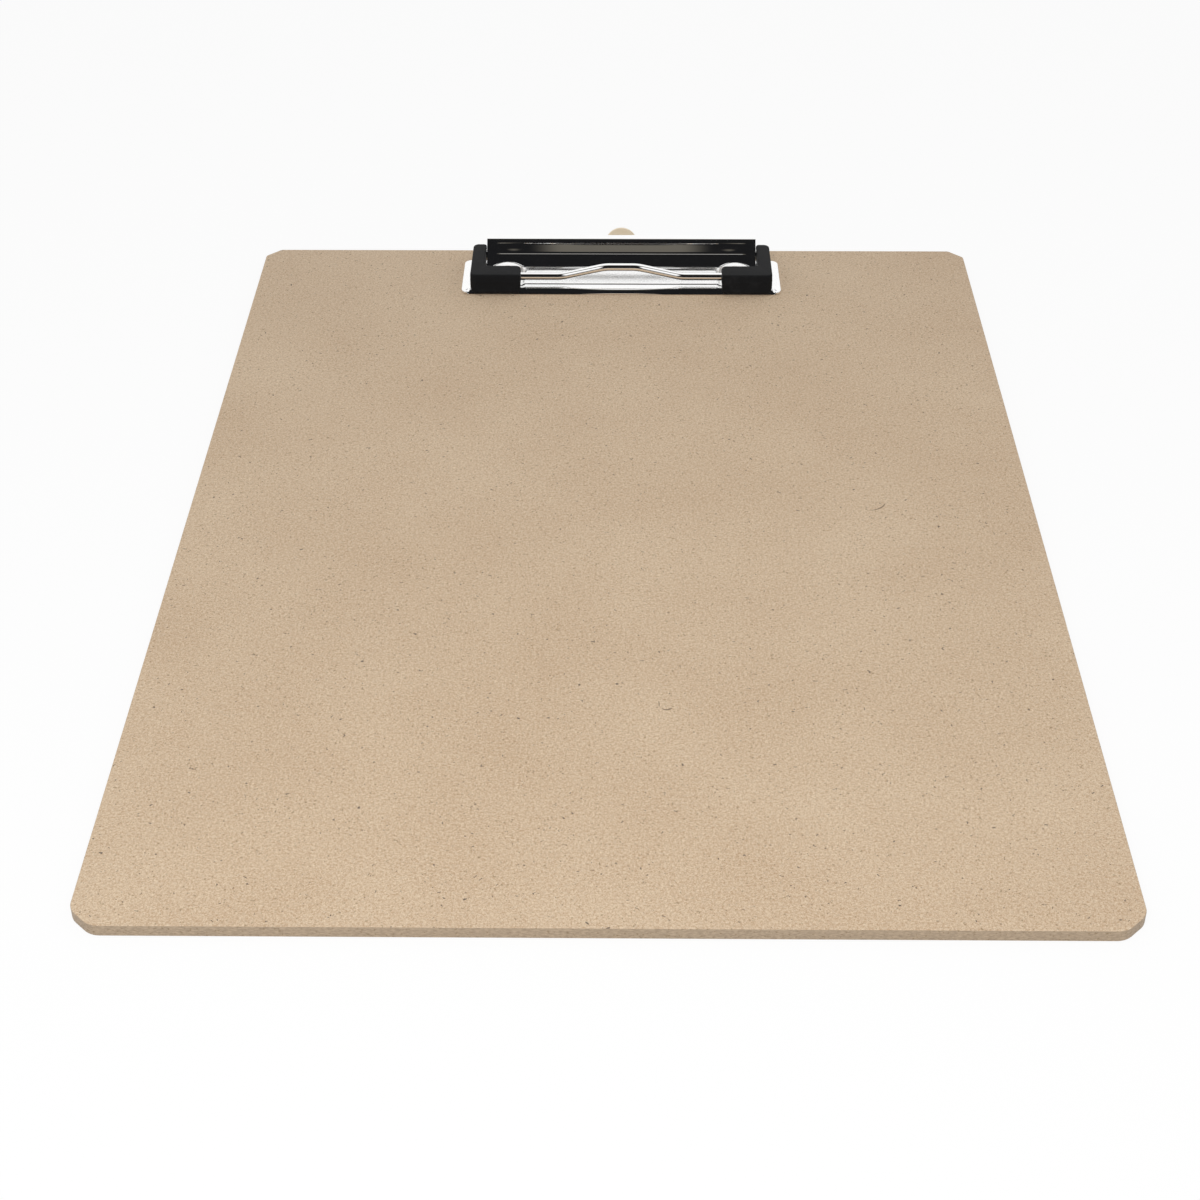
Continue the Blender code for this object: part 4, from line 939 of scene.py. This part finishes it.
def makeHanger():
    # grids on the strip's middle plane: foot, run, eye from the oblong hole to a rectangle, bend and lip
    h = hanger
    w, mid = h["half"], h["midZ"]
    quarter = np.linspace(-np.pi / 4, np.pi / 4, h["columns"])
    col = w * np.tan(quarter)
    wide = np.concatenate([[-h["footHalf"]], col, [h["footHalf"]]])
    footEnd = h["front"] + h["footLong"]
    foot = atClip(wide[None], np.linspace(h["front"], footEnd, h["footRows"])[:, None], mid)
    run = atClip(col[None], np.linspace(footEnd, h["holeD"] - h["eyeHalf"], h["runRows"])[:, None], mid)
    theta = np.concatenate([k * np.pi / 2 + quarter[:-1] for k in range(4)])
    circle = pairs(np.cos(theta), np.sin(theta))
    square = circle / np.abs(circle).max(1, keepdims=True) * (w, h["eyeHalf"])
    oblong = circle * h["holeR"] + np.sign(np.round(circle, 6)) * (0.0, h["stretch"])
    share = np.linspace(0, 1, h["eyeRings"])[:, None, None]
    ring = oblong[None] * (1 - share) + square[None] * share
    eye = atClip(ring[..., 0], h["holeD"] + ring[..., 1], mid)
    # bend up, then the half-round lip: width falls as the cosine of the climb
    a = np.linspace(0, np.pi / 2, h["bendSteps"])
    climb = np.linspace(0, np.pi / 2, h["lipRows"])
    bendD, bendZ = h["lipD"] - h["bendR"], mid + h["bendR"]
    lead = [h["holeD"] + h["eyeHalf"], bendD - h["bendLead"]]
    d = np.concatenate([lead, bendD + h["bendR"] * np.sin(a), np.full(len(climb), h["lipD"])])
    z = np.concatenate([[mid, mid], bendZ - h["bendR"] * np.cos(a), h["tip"] - w + w * np.sin(climb)])
    narrow = np.concatenate([np.ones(len(lead) + len(a)), np.cos(climb)])
    lip = atClip(col[None] * narrow[:, None], d[:, None], z[:, None])
    parts = [gridPart(foot), gridPart(run), gridPart(eye, wrapV=True), gridPart(lip)]
    piece = makePiece("hangingStrip", parts, satin, "hanger", "hanger", sharp=50.0)
    thick = piece.modifiers.new("sheet", "SOLIDIFY")
    thick.thickness, thick.offset, thick.use_even_offset = h["sheet"] * mm, 0.0, True
    soft = piece.modifiers.new("softEdges", "BEVEL")
    soft.width, soft.segments = h["edge"] * mm, h["edgeSegments"]
    soft.limit_method, soft.angle_limit = "ANGLE", math.radians(h["edgeAngle"])


makeHanger()
print("hanging strip made")

# floor, light and camera. What metal sees of the room is set in degrees of climb from the front skyline
# (skyline, blackTop, greyTop) and in parts of a unit sphere (slab, wings)
studio = {
    "floorR": 4.0, "floorZ": -0.00015, "floorSides": 96, "paper": rgb(0.92, 0.92, 0.92),
    "white": rgb(1, 1, 1), "glow": 0.88, "dome": 0.645, "slab": (0.16, 0.24), "slabFrom": 60.0,
    "slabSpread": 0.012, "dark": rgb(0.0100, 0.0101, 0.0110), "grey": rgb(0.135, 0.124, 0.104),
    "skyline": (-0.5, 1.5), "blackTop": (65.0, 80.0), "greyTop": (87.0, 93.0),
    "wings": rgb(0.300, 0.305, 0.315), "wingX": (0.50, 0.64), "wingFoot": (0.02, 0.12),
    "wingTop": (0.50, 0.70), "key": 1.80, "keySize": 0.45, "keyPlace": (-0.04, -0.46, 0.48),
    "keyAim": (0.0, -0.08, 0.0), "lens": 64.53, "sensor": 36.0, "clipNear": 0.01, "clipFar": 50.0,
    "eye": (0.0027, -0.4862, 0.3209), "pitch": 35.47, "yaw": 0.69, "roll": -0.17,
}


def makeFloor():
    # disc of two rings that shows paper with its shadows, and mostly plain white to the camera and to metal
    theta = around(studio["floorSides"])
    r = np.array([[0.0], [studio["floorR"]]])
    level = np.full((2, len(theta)), studio["floorZ"])
    points = np.stack([r * np.cos(theta), r * np.sin(theta), level], -1)
    mesh = bpy.data.meshes.new("floor")
    verts, faces = gridPart(points, wrapV=True)
    mesh.from_pydata(verts.tolist(), [], faces)
    f = Finish("paleFloor")
    paper = f.node("BsdfDiffuse", Color=studio["paper"])
    glow = f.node("Emission", Color=studio["white"], Strength=1.0)
    seen = f.rays("Camera", "Glossy", "Transmission") * studio["glow"]
    out = f.tree.nodes["Material Output"]
    join(f.tree, out.inputs["Surface"], f.node("MixShader", i0=seen, i1=paper, i2=glow))
    mesh.materials.append(f.owner)
    floor = addObject("floor", mesh)


def makeWorld():
    # white room; metal sees a dark upright band on the photographer's side and a grey wing to each side
    world = bpy.data.worlds.new("studio")
    bpy.context.scene.world = world
    f = Finish("studio", world)
    way = f.node("TexCoord", out="Generated")
    x, y, z = (f.node("SeparateXYZ", out=k, i0=way) for k in range(3))
    aside = x.math("ABSOLUTE")
    climb = z.math("ARCTAN2", -y) * (180 / math.pi)      # 0 at the front skyline, 90 overhead
    spread = (climb - studio["slabFrom"]).math("MAXIMUM", 0.0) * studio["slabSpread"]
    band = (1.0 - (aside - spread).step(*studio["slab"])) * climb.step(*studio["skyline"])
    band = band * (1.0 - climb.step(*studio["greyTop"]))
    inside = f.mix(climb.step(*studio["blackTop"]), studio["dark"], studio["grey"])
    wings = aside.step(*studio["wingX"]) * z.step(*studio["wingFoot"]) * (1.0 - z.step(*studio["wingTop"]))
    glossy, camera = f.rays("Glossy", "Transmission"), f.rays("Camera")
    colour = f.mix(band * glossy, studio["white"], inside)
    colour = f.mix(wings * glossy, colour, studio["wings"])
    strength = camera + glossy + (1.0 - camera) * (1.0 - glossy) * studio["dome"]
    background = f.tree.nodes["Background"]
    join(f.tree, background.inputs["Color"], colour)
    join(f.tree, background.inputs["Strength"], strength)


def makeLamp():
    # round soft lamp that metal doesn't mirror
    lamp = bpy.data.lights.new("key", "AREA")
    lamp.energy, lamp.shape, lamp.size = studio["key"], "DISK", studio["keySize"]
    holder = addObject("key", lamp)
    holder.location = place = Vector(studio["keyPlace"])
    holder.rotation_euler = (Vector(studio["keyAim"]) - place).to_track_quat("-Z", "Y").to_euler()
    holder.visible_glossy = False


def makeCamera():
    lens = bpy.data.cameras.new("photoView")
    lens.sensor_width, lens.lens = studio["sensor"], studio["lens"]
    lens.clip_start, lens.clip_end = studio["clipNear"], studio["clipFar"]
    camera = addObject("photoView", lens)
    turn = (Matrix.Rotation(math.radians(studio["yaw"]), 4, "Z")
            @ Matrix.Rotation(math.radians(90 - studio["pitch"]), 4, "X")
            @ Matrix.Rotation(math.radians(studio["roll"]), 4, "Z"))
    camera.matrix_world = Matrix.Translation(studio["eye"]) @ turn
    bpy.context.scene.camera = camera


makeFloor()
makeWorld()
makeLamp()
makeCamera()
bpy.context.scene.view_settings.view_transform = "Standard"
print("studio made")
